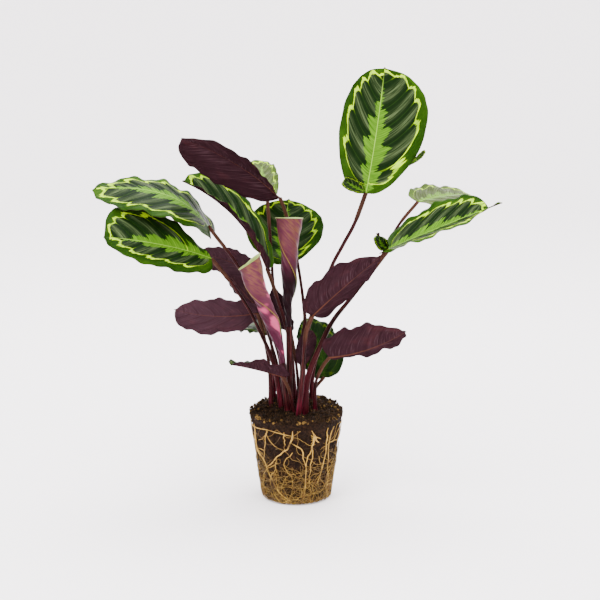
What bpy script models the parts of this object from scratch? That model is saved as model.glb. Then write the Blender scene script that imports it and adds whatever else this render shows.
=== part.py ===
"""A ring-leaved calathea with a bare root ball, modelled leaf by leaf.

Every leaf is two pieces: a stalk that stands in its own hole in the soil, and a
blade seated on the stalk's end. Two young leaves are still rolled into tubes.
The ball of soil keeps the shape of the nursery pot it grew in, and cream roots
run round it as a net.

Units are metres and +Z is up. The origin is the centre of the ball's flat
bottom. The plant is seen from -Y, with +X to its right.
"""
import math
import random
from dataclasses import dataclass

import bmesh
import bpy
import numpy as np
from mathutils import Vector
from mathutils.bvhtree import BVHTree

# The root ball, moulded by a 14 cm nursery pot.
BALL_HEIGHT = 0.125
BALL_TOP_RADIUS = 0.0655
BALL_FOOT_RADIUS = 0.0465
BALL_FOOT_ROUNDING = 0.006
SOIL_BUMP = 0.0035
SOIL_HILL = 0.010

# Blades: thick along the midrib, thin at the margin.
RIB_THICKNESS = 0.0022
MARGIN_THICKNESS = 0.0008

# Stalks: a sheath at the soil that thins to the upper stalk, with a swollen joint at the top.
SHEATH_RADIUS = 0.0050
STALK_RADIUS = 0.0027
JOINT_RADIUS = 0.0033
STALK_DEPTH = 0.020

# Roots on the outside of the ball.
ROOT_RADIUS = 0.0015
ROOT_LIFT = 0.0009

GAP = 0.0003
SIDES_8, SIDES_6 = 2, 1   # a curve's bevel_resolution for tubes of 8 and of 6 sides

COLOURS = {
    "leaf": ((0.035, 0.115, 0.030), 0.42),
    "purple": ((0.075, 0.018, 0.032), 0.50),
    "stalk": ((0.135, 0.020, 0.024), 0.32),
    "roll": ((0.330, 0.095, 0.125), 0.45),
    "soil": ((0.030, 0.019, 0.011), 0.95),
    "root": ((0.560, 0.410, 0.210), 0.75),
}


@dataclass(frozen=True)
class Leaf:
    """One open leaf. Pairs are its left and right half, seen on the top with the tip up."""
    name: str
    base: tuple                    # where the blade meets its stalk
    crest: tuple                   # the middle of the midrib
    tip: tuple
    roll: tuple                    # degrees turned about the midrib, at the base and the tip
    width: tuple                   # of each half, midrib to margin
    fold: tuple                    # degrees that each half rises from the midrib
    foot: tuple                    # where its stalk leaves the soil
    knees: tuple                   # places that the stalk passes on its way up
    curl: tuple = (0, 0)           # more degrees of rise at the margin
    wave: tuple = (0.002, 4, 0.2)  # height, count and phase of the margin's ripple
    belly: tuple = (1.0, 1.0)      # over 1 is widest nearer the tip
    point: float = 1.0             # over 1 is more pointed
    lobe: float = 0.5              # how far the base's corners reach back
    tail: float = 0.03             # share of the length that is a thin tip
    girth: float = 1.0             # of the stalk
    shows: str = "leaf"            # the face that is seen from the front


LEAVES = (
    Leaf("upper_right", (0.099, 0.085, 0.420), (0.114, 0.112, 0.501), (0.127, 0.140, 0.595),
         roll=(28, 28), width=(0.053, 0.071), fold=(2, 2), curl=(-10, -8), belly=(1.15, 1.6), point=0.82, tail=0.012,
         foot=(0.008, 0.040), knees=((0.014, 0.048, 0.221), (0.047, 0.066, 0.309),
                                 (0.065, 0.074, 0.344), (0.083, 0.080, 0.377))),
    Leaf("right", (0.126, -0.015, 0.356), (0.189, -0.045, 0.389), (0.270, -0.078, 0.428),
         roll=(6, 14), width=(0.052, 0.046), fold=(28, 2), lobe=0.9, wave=(0.002, 3.5, 0.1), tail=0.10,
         girth=1.1, foot=(0.012, -0.018), knees=((0.016, -0.018, 0.175), (0.034, -0.018, 0.223), (0.051, -0.018, 0.258),
                                             (0.077, -0.017, 0.291))),
    Leaf("right_back", (0.173, 0.085, 0.407), (0.217, 0.135, 0.410), (0.265, 0.185, 0.403),
         roll=(10, 10), width=(0.036, 0.034), fold=(10, 0), belly=(0.85, 1.0), lobe=0.2, wave=(0.002, 3, 0.3),
         girth=0.75,
         foot=(0.022, 0.022), knees=((0.025, 0.030, 0.181), (0.049, 0.040, 0.237), (0.079, 0.048, 0.276),
                                        (0.116, 0.058, 0.325), (0.144, 0.070, 0.374))),
    Leaf("top_left", (-0.022, -0.002, 0.424), (-0.077, -0.045, 0.474), (-0.146, -0.110, 0.515),
         roll=(25, 35), width=(0.036, 0.043), fold=(-22, -5), curl=(-5, -12), wave=(0.002, 3, 0.2),
         belly=(2.2, 0.95), point=0.92, tail=0.0, lobe=0.2, girth=0.8, shows="purple", foot=(0.011, 0.012),
         knees=((0.009, 0.012, 0.222), (0.012, 0.012, 0.254), (0.002, 0.010, 0.332), (-0.013, 0.004, 0.397))),
    Leaf("left_upper", (-0.121, 0.008, 0.384), (-0.181, -0.004, 0.430), (-0.277, -0.008, 0.436),
         roll=(-14, -18), width=(0.058, 0.043), fold=(-8, 2), wave=(0.003, 4, 0.2), belly=(1.0, 0.55), point=0.85,
         tail=0.0, lobe=0.9, girth=0.8,
         foot=(-0.018, 0.020), knees=((-0.026, 0.011, 0.208), (-0.073, 0.000, 0.317))),
    Leaf("left_lower", (-0.115, -0.024, 0.344), (-0.175, -0.054, 0.367), (-0.252, -0.086, 0.384),
         roll=(-38, -45), width=(0.039, 0.062), fold=(6, 6), curl=(-20, -10), wave=(0.002, 3, 0.2),
         belly=(0.80, 1.9), point=0.90, tail=0.0, lobe=0.2, girth=0.85, foot=(-0.021, 0.004),
         knees=((-0.032, -0.003, 0.192), (-0.053, -0.009, 0.245), (-0.069, -0.014, 0.278), (-0.090, -0.019, 0.311))),
    Leaf("left_middle", (-0.041, 0.030, 0.321), (-0.086, 0.018, 0.396), (-0.155, 0.000, 0.447),
         roll=(-33, -33), width=(0.040, 0.044), fold=(38, 12), point=0.8, tail=0.015, girth=0.85,
         foot=(-0.004, 0.017), knees=((-0.009, 0.016, 0.214), (-0.028, 0.022, 0.284))),
    Leaf("centre_back", (-0.015, 0.086, 0.317), (-0.016, 0.106, 0.360), (-0.011, 0.130, 0.406),
         roll=(8, 8), width=(0.057, 0.055), fold=(3, 3), curl=(-8, -8), belly=(1.2, 1.4), lobe=0.3, wave=(0.0025, 4, 0.2),
         foot=(-0.002, 0.032), knees=((-0.008, 0.042, 0.215), (-0.012, 0.062, 0.269))),
    Leaf("behind_top", (-0.041, 0.070, 0.413), (-0.050, 0.128, 0.433), (-0.049, 0.185, 0.455),
         roll=(0, 0), width=(0.036, 0.024), fold=(8, 8), wave=(0.003, 4, 0.0), tail=0.01, girth=0.8,
         foot=(-0.012, 0.038), knees=((-0.022, 0.048, 0.214), (-0.032, 0.060, 0.284), (-0.037, 0.068, 0.357))),
    Leaf("left_purple", (-0.065, 0.052, 0.312), (-0.101, 0.040, 0.332), (-0.139, 0.026, 0.345),
         roll=(45, 40), width=(0.036, 0.030), fold=(-10, 0), wave=(0.001, 3, 0.2), girth=0.75, shows="purple",
         foot=(-0.032, 0.027), knees=((-0.034, 0.031, 0.203), (-0.051, 0.033, 0.266))),
    Leaf("left_dark", (-0.055, 0.063, 0.259), (-0.082, 0.076, 0.286), (-0.107, 0.086, 0.319),
         roll=(60, 60), width=(0.022, 0.018), fold=(0, 0), wave=(0.001, 3, 0.2), girth=0.75, shows="purple",
         foot=(-0.024, 0.038), knees=((-0.029, 0.044, 0.185),)),
    Leaf("left_low", (-0.054, 0.022, 0.259), (-0.113, 0.002, 0.259), (-0.168, -0.020, 0.273),
         roll=(51, 51), width=(0.036, 0.040), fold=(5, 5), curl=(-10, -10), wave=(0.0025, 3, 0.2), girth=0.85,
         shows="purple", foot=(-0.036, 0.013), knees=((-0.037, 0.013, 0.171), (-0.043, 0.015, 0.214))),
    Leaf("left_bottom", (-0.019, -0.046, 0.185), (-0.054, -0.074, 0.202), (-0.086, -0.104, 0.216),
         roll=(13, 13), width=(0.026, 0.030), fold=(20, 20), wave=(0.003, 2.5, 0.2), lobe=1.2, girth=0.75,
         shows="purple", foot=(-0.003, -0.017), knees=((-0.010, -0.026, 0.160),)),
    Leaf("right_purple", (0.022, -0.044, 0.269), (0.060, -0.076, 0.312), (0.110, -0.115, 0.364),
         roll=(-30, -30), width=(0.037, 0.036), fold=(22, 10), wave=(0.003, 3, 0.2), belly=(0.62, 1.0), shows="purple",
         foot=(0.003, -0.031), knees=((0.009, -0.035, 0.190), (0.013, -0.039, 0.243))),
    Leaf("right_low", (0.046, -0.027, 0.207), (0.096, -0.057, 0.225), (0.146, -0.088, 0.257),
         roll=(-35, -35), width=(0.034, 0.040), fold=(18, 30), wave=(0.003, 3, 0.2), belly=(1.0, 0.8),
         girth=0.8, shows="purple", foot=(0.026, -0.006), knees=((0.027, -0.010, 0.165), (0.036, -0.019, 0.191))),
    Leaf("right_green", (0.040, 0.045, 0.160), (0.033, 0.072, 0.198), (0.010, 0.095, 0.237),
         roll=(-13, -13), width=(0.034, 0.034), fold=(6, 6), wave=(0.0025, 4, 0.2), girth=0.75,
         foot=(0.018, 0.042), knees=((0.027, 0.043, 0.144),)),
    Leaf("left_green", (-0.032, 0.067, 0.222), (-0.056, 0.092, 0.226), (-0.090, 0.124, 0.213),
         roll=(-5, -5), width=(0.034, 0.040), fold=(0, 6), girth=0.75,
         foot=(-0.016, 0.050), knees=((-0.019, 0.055, 0.175),)),
    Leaf("inner_purple", (0.007, -0.001, 0.190), (0.014, -0.003, 0.218), (0.023, -0.006, 0.240),
         roll=(-80, -80), width=(0.013, 0.013), fold=(0, 0), wave=(0.001, 3, 0.2), girth=0.75, shows="purple",
         foot=(0.011, -0.003), knees=((0.009, -0.002, 0.161),)),
    Leaf("inner_dark", (-0.008, 0.030, 0.231), (-0.020, 0.031, 0.258), (-0.034, 0.032, 0.295),
         roll=(60, 60), width=(0.014, 0.014), fold=(0, 0), wave=(0.001, 3, 0.2), girth=0.75, shows="purple",
         foot=(0.005, 0.022), knees=((0.000, 0.025, 0.183),)),
)


@dataclass(frozen=True)
class RolledLeaf:
    """A young leaf still rolled into a tapering tube, open at the top."""
    name: str
    path: tuple      # down the middle of the tube, from its mouth
    radii: tuple     # along the path
    foot: tuple
    slant: float     # how far the lip's right side stands above its left
    turns: float     # of the sheet round itself
    seam: tuple      # degrees round the tube where the free edge shows, at the mouth and at the bottom


ROLLED_LEAVES = (
    RolledLeaf("left", ((-0.061, -0.054, 0.346), (-0.053, -0.045, 0.308), (-0.044, -0.038, 0.285),
                        (-0.035, -0.031, 0.260), (-0.026, -0.024, 0.233), (-0.021, -0.019, 0.215),
                        (-0.019, -0.015, 0.196)),
               (0.0160, 0.0142, 0.0120, 0.0105, 0.0080, 0.0055, 0.0040),
               foot=(-0.012, -0.010), slant=0.017, turns=1.2, seam=(230, -130)),
    RolledLeaf("centre", ((-0.008, -0.018, 0.399), (-0.009, -0.015, 0.371), (-0.010, -0.013, 0.348),
                          (-0.010, -0.009, 0.298), (-0.011, -0.008, 0.279), (-0.010, -0.006, 0.246)),
               (0.0185, 0.0150, 0.0130, 0.0092, 0.0073, 0.0043),
               foot=(-0.009, 0.003), slant=0.001, turns=1.2, seam=(230, -130)),
)

# Roots on the front of the ball, each as (degrees round from the front, height in mm) down its length.
FRONT_ROOTS = (
    ((-83, 109), (-59, 108), (-38, 110), (-17, 107), (-6, 105)),
    ((-38, 110), (-42, 98), (-48, 75), (-52, 62)),
    ((-38, 108), (-48, 95), (-58, 90)),
    ((-40, 101), (-31, 90), (-20, 83)),
    ((-4, 112), (-6, 97), (-10, 87), (-18, 80), (-30, 68), (-44, 54)),
    ((-15, 110), (-15, 82)),
    ((-6, 97), (-3, 105), (5, 112)),
    ((-6, 94), (1, 90), (7, 84), (10, 71), (14, 53), (14, 33), (12, 14)),
    ((20, 112), (23, 95), (21, 88), (16, 72), (13, 54)),
    ((22, 90), (22, 72), (20, 53), (20, 34)),
    ((42, 112), (43, 74), (40, 49), (34, 30)),
    ((54, 112), (48, 98), (49, 77), (52, 51), (57, 30), (56, 10)),
    ((-64, 112), (-66, 77), (-52, 62), (-44, 45), (-34, 27), (-22, 13), (-8, 5)),
    ((-28, 70), (-30, 54), (-31, 34), (-29, 20)),
)
CIRCLING_ROOT_HEIGHTS = (31, 8)
BACK_ROOTS = 8


def unit(vectors):
    """Each row scaled to length one."""
    return vectors / np.linalg.norm(vectors, axis=-1, keepdims=True)


def remove_everything():
    """Empties the scene that the script starts in."""
    for thing in list(bpy.data.objects):
        bpy.data.objects.remove(thing, do_unlink=True)


def new_collection(name):
    """A collection of its own in the scene."""
    collection = bpy.data.collections.new(name)
    bpy.context.scene.collection.children.link(collection)
    return collection


def surface_material(name, kind):
    """A plain material in the colour and roughness of one of the plant's surfaces."""
    colour, roughness = COLOURS[kind]
    material = bpy.data.materials.new(name)
    material.use_nodes = True
    shader = material.node_tree.nodes["Principled BSDF"]
    shader.inputs["Base Color"].default_value = (*colour, 1.0)
    shader.inputs["Roughness"].default_value = roughness
    shader.inputs["Metallic"].default_value = 0.0
    material.diffuse_color = (*colour, 1.0)
    return material


def add_piece(name, mesh, collection, kind, at=(0, 0, 0)):
    """Puts a mesh in the scene as one named piece, shaded smooth."""
    piece = bpy.data.objects.new(name, mesh)
    piece.location = at
    collection.objects.link(piece)
    mesh.materials.clear()
    mesh.materials.append(surface_material(name, kind))
    mesh.shade_smooth()
    mesh.set_sharp_from_angle(angle=math.radians(50))
    return piece


def bent_grid(name, columns, rows, place):
    """A mesh made by bending a flat grid of triangles.

    place(s, t) takes s from -1 to 1 across the grid and t from 0 to 1 along it,
    and gives one point for each pair. Rows that shrink to a point are merged.
    """
    bm = bmesh.new()
    bmesh.ops.create_grid(bm, x_segments=columns, y_segments=rows, size=1.0)
    bmesh.ops.triangulate(bm, faces=bm.faces)
    flat = np.array([vert.co[:] for vert in bm.verts])
    points = place(flat[:, 0], (flat[:, 1] + 1) / 2)
    for vert, point in zip(bm.verts, points):
        vert.co = point
    bmesh.ops.remove_doubles(bm, verts=bm.verts, dist=0.00002)
    mesh = bpy.data.meshes.new(name)
    bm.to_mesh(mesh)
    bm.free()
    return mesh


def smooth_path(points, count):
    """Evenly spaced points on a curve that rounds the corners between the given ones."""
    p = np.array(points, float)
    p = np.vstack([2 * p[0] - p[1], p, 2 * p[-1] - p[-2]])
    v = np.linspace(0, 1, 24, endpoint=False)[:, None]
    runs = [0.5 * (2 * b + (c - a) * v + (2 * a - 5 * b + 4 * c - d) * v ** 2
                   + (3 * b - a - 3 * c + d) * v ** 3)
            for a, b, c, d in zip(p[:-3], p[1:-2], p[2:-1], p[3:])]
    return respaced(np.vstack(runs + [p[-2:-1]]), np.linspace(0, 1, count))


def lengths_along(points):
    """The distance from the first point to each one, along the path."""
    return np.concatenate([[0], np.cumsum(np.linalg.norm(np.diff(points, axis=0), axis=1))])


def respaced(points, shares):
    """Points at the given shares of a path's length."""
    run = lengths_along(points)
    return np.stack([np.interp(shares * run[-1], run, points[:, axis]) for axis in range(3)], axis=-1)


def tube_mesh(name, points, radii, resolution=SIDES_8):
    """A closed tube along the points, from a bevelled curve."""
    curve = bpy.data.curves.new(name, "CURVE")
    curve.dimensions = "3D"
    curve.bevel_depth = 1.0
    curve.bevel_resolution = resolution
    curve.use_fill_caps = True
    spline = curve.splines.new("POLY")
    spline.points.add(len(points) - 1)
    for knot, point, radius in zip(spline.points, points, radii):
        knot.co = (*point, 1.0)
        knot.radius = radius
    holder = bpy.data.objects.new(name, curve)
    bpy.context.scene.collection.objects.link(holder)
    graph = bpy.context.evaluated_depsgraph_get()
    mesh = bpy.data.meshes.new_from_object(holder.evaluated_get(graph))
    bpy.data.objects.remove(holder)
    bpy.data.curves.remove(curve)
    weld(mesh)
    return mesh


def weld(mesh):
    """Joins a tube's loose caps to its wall."""
    bm = bmesh.new()
    bm.from_mesh(mesh)
    bmesh.ops.remove_doubles(bm, verts=bm.verts, dist=0.00001)
    bmesh.ops.recalc_face_normals(bm, faces=bm.faces)
    bm.to_mesh(mesh)
    bm.free()


def midrib(leaf, t):
    """Points and directions of the midrib: a parabola through its base, crest and tip."""
    base, crest, tip = (np.array(place, float) for place in (leaf.base, leaf.crest, leaf.tip))
    bend = 2 * crest - (base + tip) / 2
    t = t[:, None]
    points = (1 - t) ** 2 * base + 2 * t * (1 - t) * bend + t ** 2 * tip
    return points, unit((1 - t) * (bend - base) + t * (tip - bend))


def half_outline(t, belly, leaf):
    """Width of one half of the blade, as a share: a blunt oval with a thin tip."""
    body = np.clip(t / (1 - leaf.tail), 0, 1)
    oval = (1 - np.abs(2 * body ** belly - 1) ** 2.3) ** (0.56 * leaf.point)
    return np.maximum(oval, 0.05) * np.clip(t * 400, 0, 1) * np.clip((1 - t) * 40, 0, 1)


def blade_points(leaf, s, t):
    """The blade's top surface.

    s is -1 on the left margin, 0 on the midrib and 1 on the right margin, and t
    runs from base to tip. Each half leaves the midrib at its fold angle and
    turns by its curl on the way out, along an arc, so it keeps its width. The
    margin ripples, and the corners at the base reach back.
    """
    points, along = midrib(leaf, t)
    level = unit(np.array([0, 0, 1.0]) - along[:, 2:] * along)
    side = np.cross(along, level)
    turn = np.radians(leaf.roll[0] * (1 - t) + leaf.roll[1] * t)[:, None]
    up = np.cos(turn) * level + np.sin(turn) * side
    side = np.cos(turn) * side - np.sin(turn) * level

    right, reach = s > 0, np.abs(s)
    width = np.where(right, leaf.width[1] * half_outline(t, leaf.belly[1], leaf),
                     leaf.width[0] * half_outline(t, leaf.belly[0], leaf))
    fold = np.radians(np.where(right, leaf.fold[1], leaf.fold[0]))
    curl = np.radians(np.where(right, leaf.curl[1], leaf.curl[0]) + 0.01)
    out = (np.sin(fold + curl * reach) - np.sin(fold)) / curl * width
    rise = (np.cos(fold) - np.cos(fold + curl * reach)) / curl * width

    height, count, phase = leaf.wave
    cycle = count * t + phase + np.where(right, 0, 0.45)
    ripple = height * reach ** 2 * np.sin(2 * math.pi * cycle) * np.sin(math.pi * t) ** 0.4
    back = leaf.lobe * width * reach ** 1.5 * np.clip(1 - t / 0.3, 0, 1) ** 2
    return (points + side * (np.sign(s) * out)[:, None] + up * (rise + ripple)[:, None]
            - along * back[:, None])


def eased(t):
    """Spreads even steps so that they lie closer together at both ends."""
    return (1 - np.cos(np.pi * t)) / 2


def add_blade(leaf, collection):
    """The blade: a bent sheet given its thickness by Solidify, thickest along the midrib."""
    small = max(leaf.width) < 0.03
    columns, rows = (4, 10) if small else (6, 14)
    base = np.array(leaf.base)
    name = "blade_" + leaf.name
    mesh = bent_grid(name, columns, rows, lambda s, t: blade_points(leaf, s, eased(t)) - base)
    blade = add_piece(name, mesh, collection, leaf.shows, at=leaf.base)

    rib = np.array([midrib(leaf, eased(np.array([share])))[0][0] for share in np.linspace(0, 1, rows + 1)]) - base
    group = blade.vertex_groups.new(name="thickness")
    for vert in mesh.vertices:
        from_rib = np.linalg.norm(rib - np.array(vert.co), axis=1).min()
        group.add([vert.index], max(0.0, 1 - 2 * from_rib / max(leaf.width)) ** 1.5, "REPLACE")
    thicken(blade, RIB_THICKNESS, group.name, MARGIN_THICKNESS / RIB_THICKNESS)
    return blade


def thicken(piece, thickness, group="", least_share=0.0):
    """Gives a sheet its thickness, on its underside."""
    modifier = piece.modifiers.new("Thickness", "SOLIDIFY")
    modifier.thickness = thickness
    modifier.offset = -1.0
    modifier.vertex_group = group
    modifier.thickness_vertex_group = least_share


def stalk_path(foot, places, count):
    """A stalk's middle line: straight up through the soil, then past each place."""
    x, y = foot
    buried = [(x, y, BALL_HEIGHT - STALK_DEPTH), (x, y, BALL_HEIGHT - STALK_DEPTH / 2), (x, y, BALL_HEIGHT)]
    return smooth_path(buried + list(places), count)


def seated_on(blade, line, radius):
    """Cuts a stalk's line where the stalk comes within a gap of its blade."""
    tree = BVHTree.FromObject(blade, bpy.context.evaluated_depsgraph_get())
    length = lengths_along(line)[-1]
    side = unit(np.cross(line[-1] - line[-8], (0.3, 0.5, 0.8)))
    other = unit(np.cross(line[-1] - line[-8], side))
    turns = np.linspace(0, 2 * math.pi, 16, endpoint=False)[:, None]
    rim = radius * (np.cos(turns) * side + np.sin(turns) * other)
    end_face = np.vstack([rim, 0.5 * rim, [(0, 0, 0)]]) - np.array(blade.location)

    for back in np.arange(0.010, 0, -0.0001):
        end = respaced(line, np.array([1 - back / length]))
        if min(tree.find_nearest(Vector(point))[3] for point in end + end_face) < 1.9 * GAP:
            return respaced(line, np.linspace(0, 1 - (back + 0.0001) / length, len(line)))
    return line


def stalk_radii(shares, girth):
    """Sheath, upper stalk and the swollen joint under the blade."""
    thin = SHEATH_RADIUS + (STALK_RADIUS - SHEATH_RADIUS) * np.minimum(shares / 0.6, 1)
    return girth * np.where(shares > 0.91, JOINT_RADIUS, thin)


STALK_STATIONS = np.array([0, 0.05, 0.13, 0.24, 0.37, 0.51, 0.66, 0.80, 0.90, 0.93, 1.0])


def add_stalk(name, line, radii, collection, hole_cutters):
    """A stalk standing in the soil, and the cutter of its hole."""
    foot = line[0]
    add_piece(name, tube_mesh(name, line - foot, radii), collection, "stalk", at=foot)
    in_soil = int(np.searchsorted(line[:, 2], BALL_HEIGHT + SOIL_HILL + 2 * SOIL_BUMP)) + 1
    hole_line = line[:in_soil].copy()
    hole_line[0, 2] -= 2 * GAP
    hole_radii = radii[:in_soil] + 1.25 * GAP
    cutter = bpy.data.objects.new(name + "_hole", tube_mesh(name + "_hole", hole_line, hole_radii))
    hole_cutters.objects.link(cutter)
    cutter.hide_render = True
    cutter.display_type = "WIRE"


def add_leaf(leaf, collection, hole_cutters):
    """A blade and its stalk."""
    blade = add_blade(leaf, collection)
    line = stalk_path(leaf.foot, leaf.knees + (leaf.base,), 200)
    line = respaced(seated_on(blade, line, leaf.girth * JOINT_RADIUS), STALK_STATIONS)
    add_stalk("stalk_" + leaf.name, line, stalk_radii(STALK_STATIONS, leaf.girth), collection, hole_cutters)


def roll_points(leaf, s, t):
    """The rolled sheet: a spiral round the path, one turn and a bit, tapering to the bottom.

    s goes round the roll and t goes down it. Each turn lies inside the last by
    the sheet's thickness and a gap. The mouth is cut on a slant, with its front side up.
    """
    shares = lengths_along(np.array(leaf.path))
    line = smooth_path(leaf.path, 80)
    centre = respaced(line, t)
    radius = np.interp(t, shares / shares[-1], leaf.radii)
    axis = unit(respaced(line, np.clip(t + 0.02, 0, 1)) - respaced(line, np.clip(t - 0.02, 0, 1)))
    front = unit(np.array([0, -1.0, 0]) - axis * -axis[:, 1:2])
    right = np.cross(front, axis)

    turned = (s + 1) / 2 * leaf.turns
    angle = np.radians(leaf.seam[0] * (1 - t) + leaf.seam[1] * t) - 2 * math.pi * turned
    radius = radius - turned * 2.4 * MARGIN_THICKNESS
    out = np.cos(angle)[:, None] * right + np.sin(angle)[:, None] * front
    lip = (leaf.slant / 2 * np.cos(angle) + 0.24 * radius * np.sin(angle)) * np.clip(1 - t / 0.25, 0, 1)
    return centre + out * radius[:, None] - axis * lip[:, None]


def add_rolled_leaf(leaf, collection, hole_cutters):
    """A rolled blade and the stalk under it."""
    name = "roll_" + leaf.name
    mouth = np.array(leaf.path[0])
    mesh = bent_grid(name, 16, 9, lambda s, t: roll_points(leaf, s, t) - mouth)
    roll = add_piece(name, mesh, collection, "roll", at=leaf.path[0])
    thicken(roll, MARGIN_THICKNESS)

    line = seated_on(roll, stalk_path(leaf.foot, [leaf.path[-1]], 200), leaf.radii[-1])
    line = respaced(line, np.linspace(0, 1, 10))
    add_stalk("stalk_roll_" + leaf.name, line, np.linspace(SHEATH_RADIUS, leaf.radii[-1], 10),
              collection, hole_cutters)


def ball_radius(height):
    """The ball's radius at a height, like the inside of the pot."""
    return BALL_FOOT_RADIUS + (BALL_TOP_RADIUS - BALL_FOOT_RADIUS) * height / BALL_HEIGHT


def soil_relief(x, y):
    """The lumpy top of the soil: a few crossing waves, and a hill behind the stalks."""
    lumps = (np.sin(95 * x + 1.0) * np.cos(110 * y) + 0.7 * np.sin(210 * x - 160 * y)
             + 0.5 * np.cos(260 * y + 150 * x + 2.0)) / 2.2
    hill = np.clip(1 - (x / 0.058) ** 2 - ((y - 0.030) / 0.040) ** 2, 0, 1)
    return SOIL_BUMP * lumps + SOIL_HILL * hill


def ball_profile():
    """Radius and height down the ball's outline, from the middle of the top to the middle of the bottom."""
    top = [(share * BALL_TOP_RADIUS, BALL_HEIGHT) for share in (0.0, 0.2, 0.4, 0.6, 0.8, 0.93)]
    side = [(ball_radius(share * BALL_HEIGHT), share * BALL_HEIGHT) for share in (0.965, 0.85, 0.65, 0.45, 0.25)]
    rounding = [(BALL_FOOT_RADIUS + BALL_FOOT_ROUNDING * (math.cos(math.radians(a)) - 1 + 0.12),
                 BALL_FOOT_ROUNDING * (1 - math.sin(math.radians(a)))) for a in (0, 35, 65, 90)]
    return np.array(top + side + rounding + [(0.0, 0.0)])


def add_soil_ball(collection, hole_cutters):
    """The ball of soil, turned round its profile, with a lumpy top and a hole for each stalk."""
    profile = ball_profile()
    steps = len(profile) - 1

    def place(s, t):
        radius = np.interp(t * steps, np.arange(steps + 1), profile[:, 0])
        height = np.interp(t * steps, np.arange(steps + 1), profile[:, 1])
        x, y = radius * np.sin(math.pi * s), -radius * np.cos(math.pi * s)
        on_top = np.clip((height - 0.95 * BALL_HEIGHT) / (0.05 * BALL_HEIGHT), 0, 1)
        return np.stack([x, y, height + soil_relief(x, y) * on_top], axis=-1)

    mesh = bent_grid("soil_ball", 32, steps, place)
    ball = add_piece("soil_ball", mesh, collection, "soil")
    holes = ball.modifiers.new("Stalk holes", "BOOLEAN")
    holes.operation = "DIFFERENCE"
    holes.operand_type = "COLLECTION"
    holes.collection = hole_cutters
    holes.solver = "EXACT"


def root_line(knots, spacing=13):
    """A root's middle line on the ball, through (degrees, height in mm) knots."""
    knots = np.array(knots, float)
    radius = ball_radius(knots[:, 1] / 1000)
    flat = np.stack([np.radians(knots[:, 0]) * radius, knots[:, 1] / 1000, np.zeros(len(knots))], axis=-1)
    run = lengths_along(flat)[-1]
    path = smooth_path(flat, max(3, int(run / (spacing / 1000)) + 1))
    height = path[:, 1]
    angle = path[:, 0] / ball_radius(height)
    out = ball_radius(height) + ROOT_RADIUS + ROOT_LIFT + GAP
    return np.stack([out * np.sin(angle), -out * np.cos(angle), height], axis=-1)


def back_roots():
    """Wandering roots on the back of the ball, which the front view doesn't show."""
    chance = random.Random(7)
    for number in range(BACK_ROOTS):
        start = 78 + 204 * (number + 0.5) / BACK_ROOTS
        heights = (112, 88, 62, 34, 10)
        yield [(start + chance.uniform(-9, 9) * step, height) for step, height in enumerate(heights)]


def circling_root(height):
    """A root that goes once round the ball and closes on itself."""
    degrees = np.arange(0, 360, 15)
    wander = np.sin(np.radians(degrees * 3)) + 0.6 * np.sin(np.radians(degrees * 7 + height))
    heights = height / 1000 * (1 + 0.09 * wander)
    out = ball_radius(heights) + ROOT_RADIUS + ROOT_LIFT + GAP
    angle = np.radians(degrees)
    return np.stack([out * np.sin(angle), -out * np.cos(angle), heights], axis=-1)


def ring_mesh(name, points, radius):
    """A closed ring of tube along the points."""
    curve = bpy.data.curves.new(name, "CURVE")
    curve.dimensions = "3D"
    curve.bevel_depth = radius
    curve.bevel_resolution = SIDES_6
    spline = curve.splines.new("POLY")
    spline.points.add(len(points) - 1)
    for knot, point in zip(spline.points, points):
        knot.co = (*point, 1.0)
    spline.use_cyclic_u = True
    holder = bpy.data.objects.new(name, curve)
    bpy.context.scene.collection.objects.link(holder)
    mesh = bpy.data.meshes.new_from_object(holder.evaluated_get(bpy.context.evaluated_depsgraph_get()))
    bpy.data.objects.remove(holder)
    bpy.data.curves.remove(curve)
    weld(mesh)
    return mesh


def add_root_net(collection):
    """All the roots as one net: two go round the ball, and the others cross them."""
    strands = new_collection("root strands")
    meshes = [ring_mesh(f"circling_{height}", circling_root(height), ROOT_RADIUS * 1.1)
              for height in CIRCLING_ROOT_HEIGHTS]
    for number, knots in enumerate(list(FRONT_ROOTS) + list(back_roots())):
        line = root_line(knots)
        radii = ROOT_RADIUS * (1.15 - 0.35 * np.linspace(0, 1, len(line))) * (1 + 0.08 * (number % 3))
        meshes.append(tube_mesh(f"strand_{number}", line, radii, SIDES_6))
    first, *others = meshes
    for mesh in others:
        strands.objects.link(bpy.data.objects.new(mesh.name, mesh))
    net = add_piece("root_net", first, collection, "root")
    apply_union(net, strands)


def apply_union(piece, others):
    """Joins a collection of solids to the piece in one union, and removes them."""
    union = piece.modifiers.new("Union", "BOOLEAN")
    union.operation = "UNION"
    union.operand_type = "COLLECTION"
    union.collection = others
    union.solver = "EXACT"
    graph = bpy.context.evaluated_depsgraph_get()
    joined = bpy.data.meshes.new_from_object(piece.evaluated_get(graph))
    piece.modifiers.clear()
    piece.data = joined
    for other in list(others.objects):
        bpy.data.objects.remove(other)
    bpy.data.collections.remove(others)


def build_plant():
    """Builds every piece of the plant."""
    remove_everything()
    plant = new_collection("calathea")
    hole_cutters = new_collection("hole cutters")
    for leaf in LEAVES:
        add_leaf(leaf, plant, hole_cutters)
    for leaf in ROLLED_LEAVES:
        add_rolled_leaf(leaf, plant, hole_cutters)
    add_soil_ball(plant, hole_cutters)
    add_root_net(plant)


build_plant()
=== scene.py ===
# %% [markdown]
# # A ring-leaved calathea on its bare root ball
# The plant has been lifted out of its nursery pot, so it stands on the ball of soil and
# roots that the pot moulded. Nineteen open leaves and two young rolled leaves rise from it
# on red stalks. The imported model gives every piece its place. This lesson gives each one
# the surface that the eye expects: quilted blades with a yellow-green ring, purple
# undersides, glossy stalks, crumbly soil and hundreds of fine roots.

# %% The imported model
import math
from dataclasses import dataclass

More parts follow.
